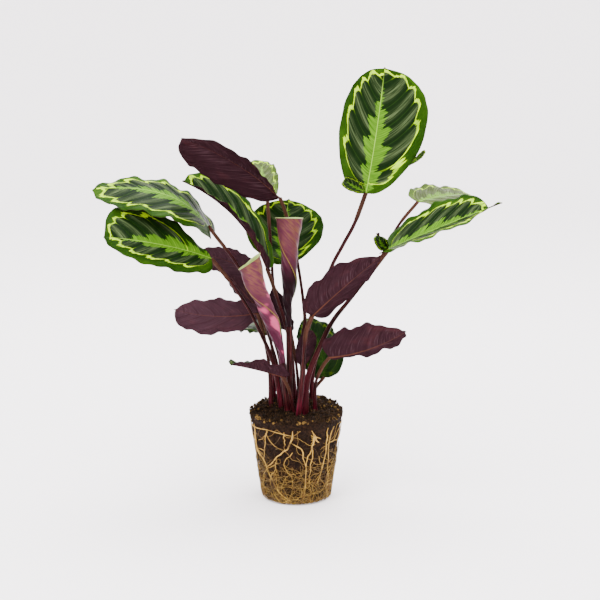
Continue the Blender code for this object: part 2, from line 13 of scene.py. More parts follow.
import bpy
import numpy as np
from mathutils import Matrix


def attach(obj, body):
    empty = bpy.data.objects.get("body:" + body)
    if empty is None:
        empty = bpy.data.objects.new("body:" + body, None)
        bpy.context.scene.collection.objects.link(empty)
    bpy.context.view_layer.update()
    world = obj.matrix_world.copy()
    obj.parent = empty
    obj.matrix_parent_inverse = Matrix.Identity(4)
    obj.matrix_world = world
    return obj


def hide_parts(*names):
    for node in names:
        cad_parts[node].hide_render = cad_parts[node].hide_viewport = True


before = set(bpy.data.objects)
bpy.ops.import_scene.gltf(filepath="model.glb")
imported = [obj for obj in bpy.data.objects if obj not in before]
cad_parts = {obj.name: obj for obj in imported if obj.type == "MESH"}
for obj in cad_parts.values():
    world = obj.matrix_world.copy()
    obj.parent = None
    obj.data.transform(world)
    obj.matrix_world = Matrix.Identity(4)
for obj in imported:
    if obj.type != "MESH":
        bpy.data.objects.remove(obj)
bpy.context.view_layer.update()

# %% [markdown]
# ## The camera
# The photograph was taken from about two metres, a little above the leaves, with a long
# lens. A long lens keeps the near and far leaves at nearly the same scale. The camera
# comes first, so that every later step can be judged through it.

# %% The camera
CAMERA_PLACE = (0.0052, -1.9225, 0.6763)
CAMERA_PITCH = 11.6      # degrees below level
CAMERA_LENS = 85.1       # mm, on a 36 mm sensor

camera = bpy.data.objects.new("Camera", bpy.data.cameras.new("Camera"))
bpy.context.scene.collection.objects.link(camera)
camera.location = CAMERA_PLACE
camera.rotation_euler = (math.radians(90 - CAMERA_PITCH), 0, 0)
camera.data.lens = CAMERA_LENS
camera.data.sensor_width = 36
camera.data.clip_end = 60
bpy.context.scene.camera = camera
print("camera stands", round(-CAMERA_PLACE[1], 2), "m in front of the plant")

# %% [markdown]
# ## Small helpers for shader nodes
# A material is a graph of nodes, and its formulas are easier to read as formulas. A value
# that changes over a surface is wrapped, so that a plus or a times sign between two values
# adds the Math node that does it. A few more helpers mix colours, turn a value into a soft
# step between two limits, and read what the mesh carries at its vertices.

# %% Node helpers
class Value:
    """A number or colour that changes over a surface. Arithmetic on it adds Math nodes."""

    def __init__(self, tree, socket):
        self.tree, self.socket = tree, socket

    __add__ = __radd__ = lambda self, other: maths("ADD", self, other)
    __mul__ = __rmul__ = lambda self, other: maths("MULTIPLY", self, other)
    __sub__ = lambda self, other: maths("SUBTRACT", self, other)
    __rsub__ = lambda self, other: maths("SUBTRACT", other, self)
    __pow__ = lambda self, power: maths("POWER", self, power)
    __abs__ = lambda self: maths("ABSOLUTE", self)


def fill(tree, socket, value):
    """Links a value to a socket, or sets the socket to a constant. None leaves it as it is."""
    if isinstance(value, Value):
        tree.links.new(value.socket, socket)
    elif value is not None:
        socket.default_value = value


def put(tree, kind, *values, **settings):
    """Adds a node, sets its properties, and fills its inputs in order."""
    new = tree.nodes.new("ShaderNode" + kind)
    for key, setting in settings.items():
        setattr(new, key, setting)
    for socket, value in zip(new.inputs, values):
        fill(tree, socket, value)
    return Value(tree, new.outputs[0])


def maths(operation, *values):
    """One Math node over values and numbers."""
    tree = next(value.tree for value in values if isinstance(value, Value))
    return put(tree, "Math", *values, operation=operation)


def step(value, low, high):
    """0 below low, 1 above high, and a smooth rise between them. High may be the smaller one."""
    return put(value.tree, "MapRange", value, low, high, 0.0, 1.0, interpolation_type="SMOOTHSTEP")


def fade(value, start, end):
    """1 before start, 0 past end, and a straight fall between them."""
    return put(value.tree, "MapRange", value, start, end, 1.0, 0.0)


def mixed(share, first, second):
    """Two colours mixed by a share, which counts as 0 or 1 when it is past them."""
    new = share.tree.nodes.new("ShaderNodeMix")
    new.data_type, new.clamp_factor = "RGBA", True
    for index, value in ((0, share), (6, first), (7, second)):
        fill(share.tree, new.inputs[index], (*value, 1.0) if isinstance(value, tuple) else value)
    return Value(share.tree, new.outputs[2])


def noise(vector, scale=1.0, detail=2.0, roughness=0.5):
    """Soft random values between 0 and 1."""
    return put(vector.tree, "TexNoise", vector, None, scale, detail, roughness)


def stretched(x, y, z):
    """A vector of three values, for noise that is longer one way than another."""
    return put(x.tree, "CombineXYZ", x, y, z)


def own(tree, name):
    """A value that the mesh carries at each vertex."""
    new = tree.nodes.new("ShaderNodeAttribute")
    new.attribute_name = name
    return Value(tree, new.outputs["Fac"])


def object_place(tree):
    """A point's place in its piece's own coordinates."""
    return Value(tree, tree.nodes.new("ShaderNodeTexCoord").outputs["Object"])


def new_material(name, roughness=0.5, **constants):
    """A material's tree and its Principled BSDF, with some constant values."""
    material = bpy.data.materials.new(name)
    material.use_nodes = True
    shader = material.node_tree.nodes["Principled BSDF"]
    shader.inputs["Roughness"].default_value = roughness
    for key, value in constants.items():
        shader.inputs[key.replace("_", " ")].default_value = value
    return material, material.node_tree, shader


def show(tree, shader, colour, height, strength, depth, roughness=None):
    """Connects a colour, a height that tilts the light, and perhaps a roughness to a shader."""
    bump = tree.nodes.new("ShaderNodeBump")
    bump.inputs["Strength"].default_value = strength
    bump.inputs["Distance"].default_value = depth
    fill(tree, bump.inputs["Height"], height)
    fill(tree, shader.inputs["Normal"], Value(tree, bump.outputs["Normal"]))
    fill(tree, shader.inputs["Base Color"], colour)
    fill(tree, shader.inputs["Roughness"], roughness)


print("node helpers are ready")

# %% [markdown]
# ## The ring pattern of a leaf's top
# The leaf is painted by its veins. From each midrib five or six main side veins sweep out
# and towards the tip, and split each half into fingers. A finger is nearly black with
# painted sheen, its outer end carries a jagged yellow-green arc that hooks inwards at the
# top, and a light green feathered band lies along the midrib. A picture would fix one leaf
# for all, so the pattern is worked out instead from values that every vertex carries:
# *along* from base to tip, *across* from margin to margin, *vein*, the place on the midrib
# where the vein through that point began, *ring*, 0 at the blade's middle and 1 at its
# margin, *plan*, the distance from the midrib, and *leaf*, the leaf's number. The last
# value is painted shade that darkens the leaves deep in the clump, and below 0 it is a
# painted glare that makes one paler.

# %% The ring pattern
DARK_FINGER, FINGER_SHEEN = (0.0030, 0.0095, 0.0018), (0.090, 0.125, 0.050)
BAND_GREEN, BAND_LIGHT = (0.013, 0.054, 0.002), (0.105, 0.240, 0.011)
RING_YELLOW, RING_GREEN = (0.340, 0.560, 0.000), (0.150, 0.290, 0.000)
EDGE_GREEN, EDGE_LIGHT = (0.0055, 0.0210, 0.0008), (0.026, 0.068, 0.003)
RIB_PALE, PAINTED_GLARE_GREEN = (0.170, 0.320, 0.030), (0.340, 0.420, 0.130)
FINGERS = 5.7                          # on each half of a blade
HALF_SEED, LEAF_SEED = 3.7, 7.31       # how far a left half and each next leaf shift their fingers
RING_PLACE, SCALLOP = 0.735, 0.085     # where the arcs start, from rib to margin, and their swing
ARC_THIN, ARC_SWELL = 0.014, 0.024     # an arc's half-width low on a finger, and what it gains
BAND_WIDTH, FEATHER = 0.27, 0.20       # of the band along the midrib, and of its feathered edge


def new_pattern(name, inputs):
    """A node group with named number inputs that puts out a colour, a roughness and a height."""
    group = bpy.data.node_groups.new(name, "ShaderNodeTree")
    for label in inputs:
        group.interface.new_socket(label, in_out="INPUT", socket_type="NodeSocketFloat")
    for label, kind in (("Colour", "Color"), ("Roughness", "Float"), ("Height", "Float")):
        group.interface.new_socket(label, in_out="OUTPUT", socket_type="NodeSocket" + kind)
    given = group.nodes.new("NodeGroupInput").outputs
    return group, [Value(group, given[label]) for label in inputs]


def give(group, colour, roughness, height):
    """Sends a pattern's three outcomes out of its group."""
    result = group.nodes.new("NodeGroupOutput").inputs
    for label, value in (("Colour", colour), ("Roughness", roughness), ("Height", height)):
        fill(group, result[label], value)
    print(group.name, "has", len(group.nodes), "nodes")


def finger_values(across, vein, leaf_number):
    """A half's seed, 0 to 1 over each finger, the distance from its side veins, and its folds."""
    seed = maths("LESS_THAN", across, 0.0) * HALF_SEED + leaf_number * LEAF_SEED
    finger = maths("FRACT", vein * FINGERS + seed)
    vein_edge = maths("MINIMUM", finger, 1.0 - finger)
    return seed, finger, vein_edge, maths("SINE", finger * (6 * math.pi))


def face_material(name, pattern, strength, depth, specular):
    """A material that feeds a pattern with the values of a blade's vertices."""
    material, tree, shader = new_material(name, Specular_IOR_Level=specular)
    painted = tree.nodes.new("ShaderNodeGroup")
    painted.node_tree = pattern
    for label in [socket.name for socket in painted.inputs]:
        fill(tree, painted.inputs[label], own(tree, label.lower()))
    colour, roughness, height = (Value(tree, socket) for socket in painted.outputs)
    show(tree, shader, colour, height, strength, depth, roughness)
    return material


ring_pattern, (along, across, vein, ring, plan, leaf_number, shade_and_glare) = new_pattern(
    "Ring leaf pattern", ("Along", "Across", "Vein", "Ring", "Plan", "Leaf", "Shade_and_glare"))
seed, finger, vein_edge, folds = finger_values(across, vein, leaf_number)
reach, from_rib = abs(across), abs(plan)
fine = noise(stretched(vein * 100.0, reach * 2.2, seed))                   # thin veins
coarse = noise(stretched(vein * 34.0, reach * 3.0, seed), detail=1.0)
cloud = noise(stretched(along * 2.4, across * 1.4, seed))
jag = fine + coarse - 1.0

# The arc across a finger's outer end grows wider and more jagged towards the tip.
ring_line = maths("SINE", finger ** 1.5 * math.pi) * SCALLOP + RING_PLACE
past_ring = ring - ring_line - jag * (step(finger, 0.15, 0.60) * 0.75 + 0.25) * 0.075
thick = (step(finger, 0.10, 0.70) * ARC_SWELL + ARC_THIN) * (coarse + 0.55)
thick = thick * (step(along, 0.02, 0.50) * 0.88 + 0.12)
ring_mask = step(abs(past_ring), thick, thick * 0.6)
outside = step(past_ring, -0.004, 0.004)

# The band along the midrib has a lobe in each finger and ends before the tip.
lobe = (step(finger, 0.0, 0.85) * 0.62 + 0.50) * (step(vein_edge, 0.0, 0.10) * 0.25 + 0.75)
band_width = step(vein, -0.15, 0.30) * step(vein, 0.93, 0.40) * BAND_WIDTH * lobe
band_mask = step(jag * FEATHER + band_width - from_rib, -0.004, 0.014)
band_mask = band_mask * step(band_width, 0.010, 0.035)

# A finger is dark, with painted sheen in pale streaks in its middle, a side vein at its ends,
# and a hook of the arc.
sheen = step(fine, 0.30, 0.93) * step(finger, 0.15, 0.45) * step(finger, 0.85, 0.50)
colour = mixed(sheen, DARK_FINGER, FINGER_SHEEN)
colour = mixed(fade(vein_edge, 0.008, 0.030) * 0.25, colour, EDGE_LIGHT)
hook = fade(finger, 0.98, 0.93) * step(ring, ring_line - 0.14, ring_line)
colour = mixed(hook * 0.5, colour, RING_GREEN)

# Over it come the margin, the band, the arc and the midrib, then painted shade over a whole
# leaf deep in the clump, and painted glare over one that is paler.
margin = mixed(fine * 0.5 + (step(cloud, 0.40, 0.70) * 0.7 - 0.12), EDGE_GREEN, EDGE_LIGHT)
colour = mixed(outside, colour, margin)
colour = mixed(band_mask, colour, mixed(fine * 1.5 - 0.30, BAND_GREEN, BAND_LIGHT))
colour = mixed(ring_mask, colour, mixed(step(coarse, 0.25, 0.60), RING_GREEN, RING_YELLOW))
colour = mixed(fade(from_rib, 0.004, 0.014) * step(along, 0.99, 0.80), colour, RIB_PALE)
colour = mixed(shade_and_glare, colour, DARK_FINGER)
colour = mixed(shade_and_glare * -1.0, colour, PAINTED_GLARE_GREEN)
quilt = maths("SINE", finger * math.pi) ** 0.5 * 0.6
give(ring_pattern, colour, roughness=fine * 0.14 + (outside * 0.05 + 0.22),
     height=folds * 0.12 + (fine * 0.40 + quilt))
leaf_top = face_material("leaf top", ring_pattern, 0.6, 0.0008, 0.015)

# %% [markdown]
# ## The underside
# The purple underside is what holds light in on a dim forest floor. It has no ring. Its
# colour wanders between maroon, plum and patches of brick red, with painted glare in pale
# streaks along the side veins. The side veins are grooves with painted shade in them, and
# the midrib stands out of the underside as a tan cord. One more value, *tone*, is painted
# shade that makes an underside darker deep in the clump, and below 0 painted light that
# makes one more violet.

# %% The underside material
PLUM, MAROON, PAINTED_LIGHT_VIOLET = (0.0248, 0.0103, 0.0140), (0.0085, 0.0030, 0.0038), (0.047, 0.022, 0.030)
BRICK, PAINTED_GROOVE_SHADE = (0.0350, 0.0100, 0.0115), (0.0045, 0.0010, 0.0015)
RIB_TAN, GLARE_PLUM = (0.075, 0.027, 0.015), (0.062, 0.034, 0.040)
RIB_BASE, RIB_TAPER = 0.032, 0.026     # the midrib's half-width at the base, less at the tip

underside_pattern, (along, across, vein, plan, leaf_number, tone) = new_pattern(
    "Leaf underside", ("Along", "Across", "Vein", "Plan", "Leaf", "Tone"))
seed, finger, vein_edge, folds = finger_values(across, vein, leaf_number)
reach = abs(across)
fine = noise(stretched(vein * 90.0, reach * 2.0, seed))
patch = noise(stretched(along * 4.0, across * 2.2, seed), detail=3.0)
groove = step(vein_edge, 0.12, 0.01)
streak = step(fine, 0.50, 0.78) * step(reach, 0.95, 0.40)
rib_width = RIB_BASE - along * RIB_TAPER
rib = fade(abs(plan), rib_width * 0.6, rib_width)

colour = mixed(patch * 0.6 + fine * 0.5, MAROON, PLUM)
colour = mixed(step(patch, 0.52, 0.74) * 0.6, colour, BRICK)
# Painted light makes an underside more violet below 0, and painted shade darkens it above 0.
colour = mixed(step(tone, 0.0, -1.0), colour, PAINTED_LIGHT_VIOLET)
colour = mixed(tone, colour, MAROON)
# Painted glare in pale streaks along the side veins.
colour = mixed(streak * 0.55, colour, GLARE_PLUM)
# Painted shade in the grooves of the side veins.
colour = mixed(groove * 0.20, colour, PAINTED_GROOVE_SHADE)
colour = mixed(rib * (0.85 - along * 0.60), colour, RIB_TAN)
give(underside_pattern, colour, roughness=fine * 0.2 + 0.38,
     height=folds * 0.12 + (fine * 0.35 - groove))
leaf_underside = face_material("leaf underside", underside_pattern, 0.55, 0.0009, 0.0)

# %% [markdown]
# ## Meshes from arrays
# Every surface below is worked out as whole arrays of points. This helper turns points and
# faces into a piece, gives it its materials and vertex values, lets it ride on the plant's
# one body, and hides the imported nodes that it stands for.

# %% Making a piece
def make_piece(name, points, faces, materials, nodes=(), values=None, material_index=None):
    """A smooth piece at the origin, with its place in its mesh."""
    mesh = bpy.data.meshes.new(name)
    mesh.from_pydata(points.tolist(), [], faces)
    for label, numbers in (values or {}).items():
        attribute = mesh.attributes.new(label, "FLOAT", "POINT")
        attribute.data.foreach_set("value", numbers.astype(np.float32))
    for material in materials:
        mesh.materials.append(material)
    if material_index is not None:
        mesh.polygons.foreach_set("material_index", material_index)
    mesh.shade_smooth()
    mesh.validate()
    piece = bpy.data.objects.new(name, mesh)
    bpy.context.scene.collection.objects.link(piece)
    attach(piece, "root")
    if nodes:
        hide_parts(*nodes)
    return piece


def unit(vectors):
    """Each row scaled to length one."""
    return vectors / np.linalg.norm(vectors, axis=-1, keepdims=True)


# %% [markdown]
# ## The leaves' places
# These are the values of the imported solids, repeated here in millimetres. Each leaf has a
# midrib through three points, half-widths, folds and a stalk line. A table keeps the
# numbers that were read off the plant apart from the functions that turn them into shapes.

# %% The table of leaves
@dataclass(frozen=True)
class Leaf:
    """One open leaf, in mm and degrees. Pairs are its left and right half, with the tip up."""
    name: str
    base: tuple                    # where the blade meets its stalk
    crest: tuple                   # the middle of the midrib
    tip: tuple
    roll: tuple                    # turned about the midrib, at the base and the tip
    width: tuple                   # of each half, midrib to margin
    fold: tuple                    # how far each half rises from the midrib
    foot: tuple = (0, 0)           # where its stalk leaves the soil
    knees: tuple = ()              # places that the stalk passes on its way up
    curl: tuple = (0, 0)           # more rise at the margin
    wave: tuple = (2, 4, 0.2)      # height, count and phase of the margin's ripple
    belly: tuple = (1, 1)          # over 1 is widest nearer the tip
    point: float = 1.0             # over 1 is more pointed
    lobe: float = 0.5              # how far the base's corners reach back
    tail: float = 0.03             # share of the length that is a thin tip
    girth: float = 1.0             # of the stalk
    shows: str = "leaf"            # the face that is seen from the front


LEAVES = (
    Leaf("upper_right", (99, 85, 420), (114, 112, 501), (127, 140, 595), roll=(28, 28),
         width=(53, 71), fold=(2, 2), curl=(-10, -8), belly=(1.15, 1.6), point=0.82, tail=0.012,
         foot=(8, 40), knees=((14, 48, 221), (47, 66, 309), (65, 74, 344), (83, 80, 377))),
    Leaf("right", (126, -15, 356), (189, -45, 389), (270, -78, 428), roll=(6, 14),
         width=(52, 46), fold=(28, 2), lobe=0.9, wave=(2, 3.5, 0.1), tail=0.1, girth=1.1,
         foot=(12, -18), knees=((16, -18, 175), (34, -18, 223), (51, -18, 258), (77, -17, 291))),
    Leaf("right_back", (173, 85, 407), (217, 135, 410), (265, 185, 403), roll=(10, 10),
         width=(36, 34), fold=(10, 0), belly=(0.85, 1), lobe=0.2, wave=(2, 3, 0.3), girth=0.75,
         foot=(22, 22), knees=((25, 30, 181), (49, 40, 237), (79, 48, 276), (116, 58, 325),
         (144, 70, 374))),
    Leaf("top_left", (-22, -2, 424), (-77, -45, 474), (-146, -110, 515), roll=(25, 35),
         width=(36, 43), fold=(-22, -5), curl=(-5, -12), wave=(2, 3, 0.2), belly=(2.2, 0.95),
         point=0.92, tail=0, lobe=0.2, girth=0.8, shows="purple", foot=(11, 12),
         knees=((9, 12, 222), (12, 12, 254), (2, 10, 332), (-13, 4, 397))),
    Leaf("left_upper", (-121, 8, 384), (-181, -4, 430), (-277, -8, 436), roll=(-14, -18),
         width=(58, 43), fold=(-8, 2), wave=(3, 4, 0.2), belly=(1, 0.55), point=0.85, tail=0,
         lobe=0.9, girth=0.8, foot=(-18, 20), knees=((-26, 11, 208), (-73, 0, 317))),
    Leaf("left_lower", (-115, -24, 344), (-175, -54, 367), (-252, -86, 384), roll=(-38, -45),
         width=(39, 62), fold=(6, 6), curl=(-20, -10), wave=(2, 3, 0.2), belly=(0.8, 1.9),
         point=0.9, tail=0, lobe=0.2, girth=0.85, foot=(-21, 4), knees=((-32, -3, 192),
         (-53, -9, 245), (-69, -14, 278), (-90, -19, 311))),
    Leaf("left_middle", (-41, 30, 321), (-86, 18, 396), (-155, 0, 447), roll=(-33, -33),
         width=(40, 44), fold=(38, 12), point=0.8, tail=0.015, girth=0.85, foot=(-4, 17),
         knees=((-9, 16, 214), (-28, 22, 284))),
    Leaf("centre_back", (-15, 86, 317), (-16, 106, 360), (-11, 130, 406), roll=(8, 8),
         width=(57, 55), fold=(3, 3), curl=(-8, -8), belly=(1.2, 1.4), lobe=0.3,
         wave=(2.5, 4, 0.2), foot=(-2, 32), knees=((-8, 42, 215), (-12, 62, 269))),
    Leaf("behind_top", (-41, 70, 413), (-50, 128, 433), (-49, 185, 455), roll=(0, 0),
         width=(36, 24), fold=(8, 8), wave=(3, 4, 0.0), tail=0.01, girth=0.8, foot=(-12, 38),
         knees=((-22, 48, 214), (-32, 60, 284), (-37, 68, 357))),
    Leaf("left_purple", (-65, 52, 312), (-101, 40, 332), (-139, 26, 345), roll=(45, 40),
         width=(36, 30), fold=(-10, 0), wave=(1, 3, 0.2), girth=0.75, shows="purple",
         foot=(-32, 27), knees=((-34, 31, 203), (-51, 33, 266))),
    Leaf("left_dark", (-55, 63, 259), (-82, 76, 286), (-107, 86, 319), roll=(60, 60),
         width=(22, 18), fold=(0, 0), wave=(1, 3, 0.2), girth=0.75, shows="purple",
         foot=(-24, 38), knees=((-29, 44, 185),)),
    Leaf("left_low", (-54, 22, 259), (-113, 2, 259), (-168, -20, 273), roll=(51, 51),
         width=(36, 40), fold=(5, 5), curl=(-10, -10), wave=(2.5, 3, 0.2), girth=0.85,
         shows="purple", foot=(-36, 13), knees=((-37, 13, 171), (-43, 15, 214))),
    Leaf("left_bottom", (-19, -46, 185), (-54, -74, 202), (-86, -104, 216), roll=(13, 13),
         width=(26, 30), fold=(20, 20), wave=(3, 2.5, 0.2), lobe=1.2, girth=0.75, shows="purple",
         foot=(-3, -17), knees=((-10, -26, 160),)),
    Leaf("right_purple", (22, -44, 269), (60, -76, 312), (110, -115, 364), roll=(-30, -30),
         width=(37, 36), fold=(22, 10), wave=(3, 3, 0.2), belly=(0.62, 1), shows="purple",
         foot=(3, -31), knees=((9, -35, 190), (13, -39, 243))),
    Leaf("right_low", (46, -27, 207), (96, -57, 225), (146, -88, 257), roll=(-35, -35),
         width=(34, 40), fold=(18, 30), wave=(3, 3, 0.2), belly=(1, 0.8), girth=0.8,
         shows="purple", foot=(26, -6), knees=((27, -10, 165), (36, -19, 191))),
    Leaf("right_green", (40, 45, 160), (33, 72, 198), (10, 95, 237), roll=(-13, -13),
         width=(34, 34), fold=(6, 6), wave=(2.5, 4, 0.2), girth=0.75, foot=(18, 42),
         knees=((27, 43, 144),)),
    Leaf("left_green", (-32, 67, 222), (-56, 92, 226), (-90, 124, 213), roll=(-5, -5),
         width=(34, 40), fold=(0, 6), girth=0.75, foot=(-16, 50), knees=((-19, 55, 175),)),
    Leaf("inner_purple", (7, -1, 190), (14, -3, 218), (23, -6, 240), roll=(-80, -80),
         width=(13, 13), fold=(0, 0), wave=(1, 3, 0.2), girth=0.75, shows="purple",
         foot=(11, -3), knees=((9, -2, 161),)),
    Leaf("inner_dark", (-8, 30, 231), (-20, 31, 258), (-34, 32, 295), roll=(60, 60),
         width=(14, 14), fold=(0, 0), wave=(1, 3, 0.2), girth=0.75, shows="purple", foot=(5, 22),
         knees=((0, 25, 183),)),
)


@dataclass(frozen=True)
class RolledLeaf:
    """A young leaf still rolled into a tapering tube, open at the top, in mm and degrees."""
    name: str
    path: tuple      # down the middle of the tube, from its mouth
    radii: tuple     # along the path
    foot: tuple
    slant: float     # how far the lip's right side stands above its left
    turns: float     # of the sheet round itself
    seam: tuple      # where round the tube the free edge shows, at the mouth and at the bottom


ROLLED_LEAVES = (
    RolledLeaf("left", ((-61, -54, 346), (-53, -45, 308), (-44, -38, 285), (-35, -31, 260),
               (-26, -24, 233), (-21, -19, 215), (-19, -15, 196)),
               (16, 14.2, 12, 10.5, 8, 5.5, 4), foot=(-12, -10), slant=17, turns=1.2,
               seam=(230, -130)),
    RolledLeaf("centre", ((-8, -18, 399), (-9, -15, 371), (-10, -13, 348), (-10, -9, 298),
               (-11, -8, 279), (-10, -6, 246)), (18.5, 15, 13, 9.2, 7.3, 4.3), foot=(-9, 3),
               slant=1, turns=1.2, seam=(230, -130)),
)

print(len(LEAVES), "open leaves and", len(ROLLED_LEAVES), "rolled ones")

# %% [markdown]
# ## A blade as a function of two parameters
# Across runs from -1 on the left margin to 1 on the right one, and along from 0 at the
# base to 1 at the tip. The midrib is a parabola through base, crest and tip. Each half
# turns away from it along an arc. Between the side veins the blade swells a little, like
# a quilt, and its margin ripples. A subdivided plane with sculpted waves would look alike
# from one side, but the function keeps every vein in step with the painted pattern.

# %% The blade's surface
RIB_HEIGHT, RIB_SPREAD = 0.0013, 0.0010            # the cord under a midrib
BLADE_THICKNESS = 0.0006
QUILT, PLEAT, MARGIN_RIPPLE = 0.0009, 0.0002, 0.0011
VEIN_BULGE = 0.008                                 # how far a finger's end stands out of the margin
OVAL_END, OVAL_POWER = 2.3, 0.56                   # the outline's roundness
RING_LENGTH = 0.87                                 # of the rings, beside the blade's
VEIN_SLANT, VEIN_SWEEP, VEIN_BEND = 0.24, 0.26, 1.4
VEIN_WOBBLE = 0.022                                # makes the steps from vein to vein uneven
# Painted shade on the tops and undersides of leaves deep in the clump: 1 is darkest. Below 0
# a top gets painted glare that makes it paler, and an underside painted light that makes it
# more violet.
PAINTED_SHADE_AND_GLARE = {"right_green": 0.91, "left_green": 0.7, "centre_back": 0.38, "left_middle": 0.22,
          "left_lower": 0.15, "left_bottom": 0.9, "upper_right_lobe": 0.3, "right_lobe": 0.3,
          "right_back": -0.1, "behind_top": -0.1}
PAINTED_UNDERSIDE_SHADE_AND_LIGHT = {"top_left": 0.38, "inner_dark": 0.5, "left_middle": 0.2, "left_low": -0.45,
         "left_purple": -0.4}
RING_SHIFT = {"left_lower": 0.07, "left_upper": 0.03}      # how far these arcs lie inwards


def midrib(leaf, t):
    """Points (1-t)^2 base + 2t(1-t) bend + t^2 tip, which pass the crest, and directions."""
    base, crest, tip = (np.array(place) / 1000 for place in (leaf.base, leaf.crest, leaf.tip))
    bend = 2 * crest - (base + tip) / 2
    t = t[:, None]
    points = (1 - t) ** 2 * base + 2 * t * (1 - t) * bend + t ** 2 * tip
    return points, unit((1 - t) * (bend - base) + t * (tip - bend))


def of_half(s, pair):
    """The left or the right number of a pair."""
    return np.where(s > 0, pair[1], pair[0])


def half_outline(leaf, s, t):
    """Share of the half-width: (1 - |y|^2.3)^(0.56 point), where y = 2 u^belly - 1 and u is t
    without the thin tip. Also y."""
    y = 2 * np.clip(t / (1 - leaf.tail), 0, 1) ** of_half(s, leaf.belly) - 1
    oval = (1 - np.abs(y) ** OVAL_END) ** (OVAL_POWER * leaf.point)
    return np.maximum(oval, 0.05) * np.clip(t * 400, 0.1, 1) * np.clip((1 - t) * 40, 0.02, 1), y


def blade_values(leaf, number, s, t):
    """What the patterns read. vein = t - (0.24 + 0.26 t) plan^1.4, with uneven steps, and
    ring = sqrt(plan^(1 / (0.56 point)) + |0.87 y|^2.3), where y is -1 at the base and 1 at the tip."""
    share, y = half_outline(leaf, s, t)
    plan = np.abs(s) * share
    ring = np.sqrt(plan ** (1 / (OVAL_POWER * leaf.point)) + np.abs(RING_LENGTH * y) ** OVAL_END)
    vein = t - (VEIN_SLANT + VEIN_SWEEP * t) * plan ** VEIN_BEND
    vein = vein + VEIN_WOBBLE * np.sin(9 * vein + 2.1 * number + 1.7 * (s > 0))
    same = {"leaf": number, "shade_and_glare": PAINTED_SHADE_AND_GLARE.get(leaf.name, 0), "tone": PAINTED_UNDERSIDE_SHADE_AND_LIGHT.get(leaf.name, 0)}
    ring = ring + RING_SHIFT.get(leaf.name, 0)
    values = {"along": t, "across": s, "vein": vein, "ring": ring, "plan": plan}
    return values | {label: np.full(len(s), float(value)) for label, value in same.items()}


def blade_surface(leaf, number, s, t):
    """The top surface, its normals, the distance from the midrib, and the patterns' values."""
    points, along = midrib(leaf, t)
    level = unit(np.array([0, 0, 1.0]) - along[:, 2:] * along)
    side = np.cross(along, level)
    turn = np.radians(leaf.roll[0] * (1 - t) + leaf.roll[1] * t)[:, None]
    up = np.cos(turn) * level + np.sin(turn) * side
    side = np.cos(turn) * side - np.sin(turn) * level

    reach = np.abs(s)
    values = blade_values(leaf, number, s, t)
    finger = values["vein"] * FINGERS + LEAF_SEED * number + HALF_SEED * (s <= 0)
    width = of_half(s, leaf.width) / 1000 * half_outline(leaf, s, t)[0]
    width = width * (1 + VEIN_BULGE * reach * np.cos(2 * np.pi * (finger - 0.5)))
    fold = np.radians(of_half(s, leaf.fold))
    curl = np.radians(of_half(s, leaf.curl) + 0.01)        # never 0, because it divides
    bend = fold + curl * reach
    out = (np.sin(bend) - np.sin(fold)) / curl * width
    rise = (np.cos(fold) - np.cos(bend)) / curl * width

    height, count, phase = leaf.wave
    cycle = count * t + phase + np.where(s > 0, 0, 0.45)
    ripple = height / 1000 * reach ** 2 * np.sin(2 * np.pi * cycle) * np.sin(np.pi * t) ** 0.4
    cycle = 2.3 * count * t + 1.7 * phase + 0.3 * number
    ripple += MARGIN_RIPPLE * reach ** 4 * np.sin(2 * np.pi * cycle)
    back = leaf.lobe * width * reach ** 1.5 * np.clip(1 - t / 0.3, 0, 1) ** 2

    hand = np.sign(s)[:, None]
    normal = up * np.cos(bend)[:, None] - side * hand * np.sin(bend)[:, None]
    quilt = QUILT * np.abs(np.sin(np.pi * finger)) ** 0.7 + PLEAT * np.sin(6 * np.pi * finger)
    quilt *= (np.clip(np.sin(np.pi * reach), 0, 1) * np.clip(np.sin(np.pi * t), 0, 1)) ** 0.5
    points = points + side * hand * out[:, None] + up * (rise + ripple)[:, None]
    points = points - along * back[:, None] + normal * quilt[:, None]
    return points, normal, reach * width, values


def sheet_faces(columns, rows):
    """Top, underside and rim faces of a closed sheet. Vertices go row by row, top first."""
    size = (columns + 1) * (rows + 1)
    corner = (np.arange(rows)[:, None] * (columns + 1) + np.arange(columns)[None]).ravel()
    top = np.stack([corner, corner + 1, corner + columns + 2, corner + columns + 1], axis=-1)
    under = top[:, ::-1] + size
    grid = np.arange(size).reshape(rows + 1, columns + 1)
    rim = np.concatenate([grid[0, :-1], grid[:-1, -1], grid[-1, :0:-1], grid[:0:-1, 0]])
    after = np.roll(rim, -1)
    strip = np.stack([after, rim, rim + size, after + size], axis=-1)
    return top, under, strip


def add_sheet(name, upper, lower, columns, rows, materials, nodes, values):
    """A closed sheet with one material above and another below and on its rim."""
    above, below, strip = sheet_faces(columns, rows)
    index = np.repeat([0, 1], [len(above), len(below) + len(strip)]).astype(np.int32)
    faces = np.concatenate([above, below, strip]).tolist()
    both = {label: np.tile(numbers, 2) for label, numbers in values.items()}
    points = np.concatenate([upper, lower])
    return make_piece(name, points, faces, materials, nodes, both, index)


print("a blade is a sheet", 1000 * BLADE_THICKNESS, "mm thick with a raised midrib")

# %% [markdown]
# ## The nineteen blades
# The rows are closer together at the ends, where the outline is round, and the columns
# near the midrib, where the cord under it needs them.

# %% The blades
SMALL_BLADE = 30                                   # mm, the half-width below which fewer rows do
BLADE_GRIDS = {True: (28, 40), False: (56, 84)}    # columns and rows of small and other blades


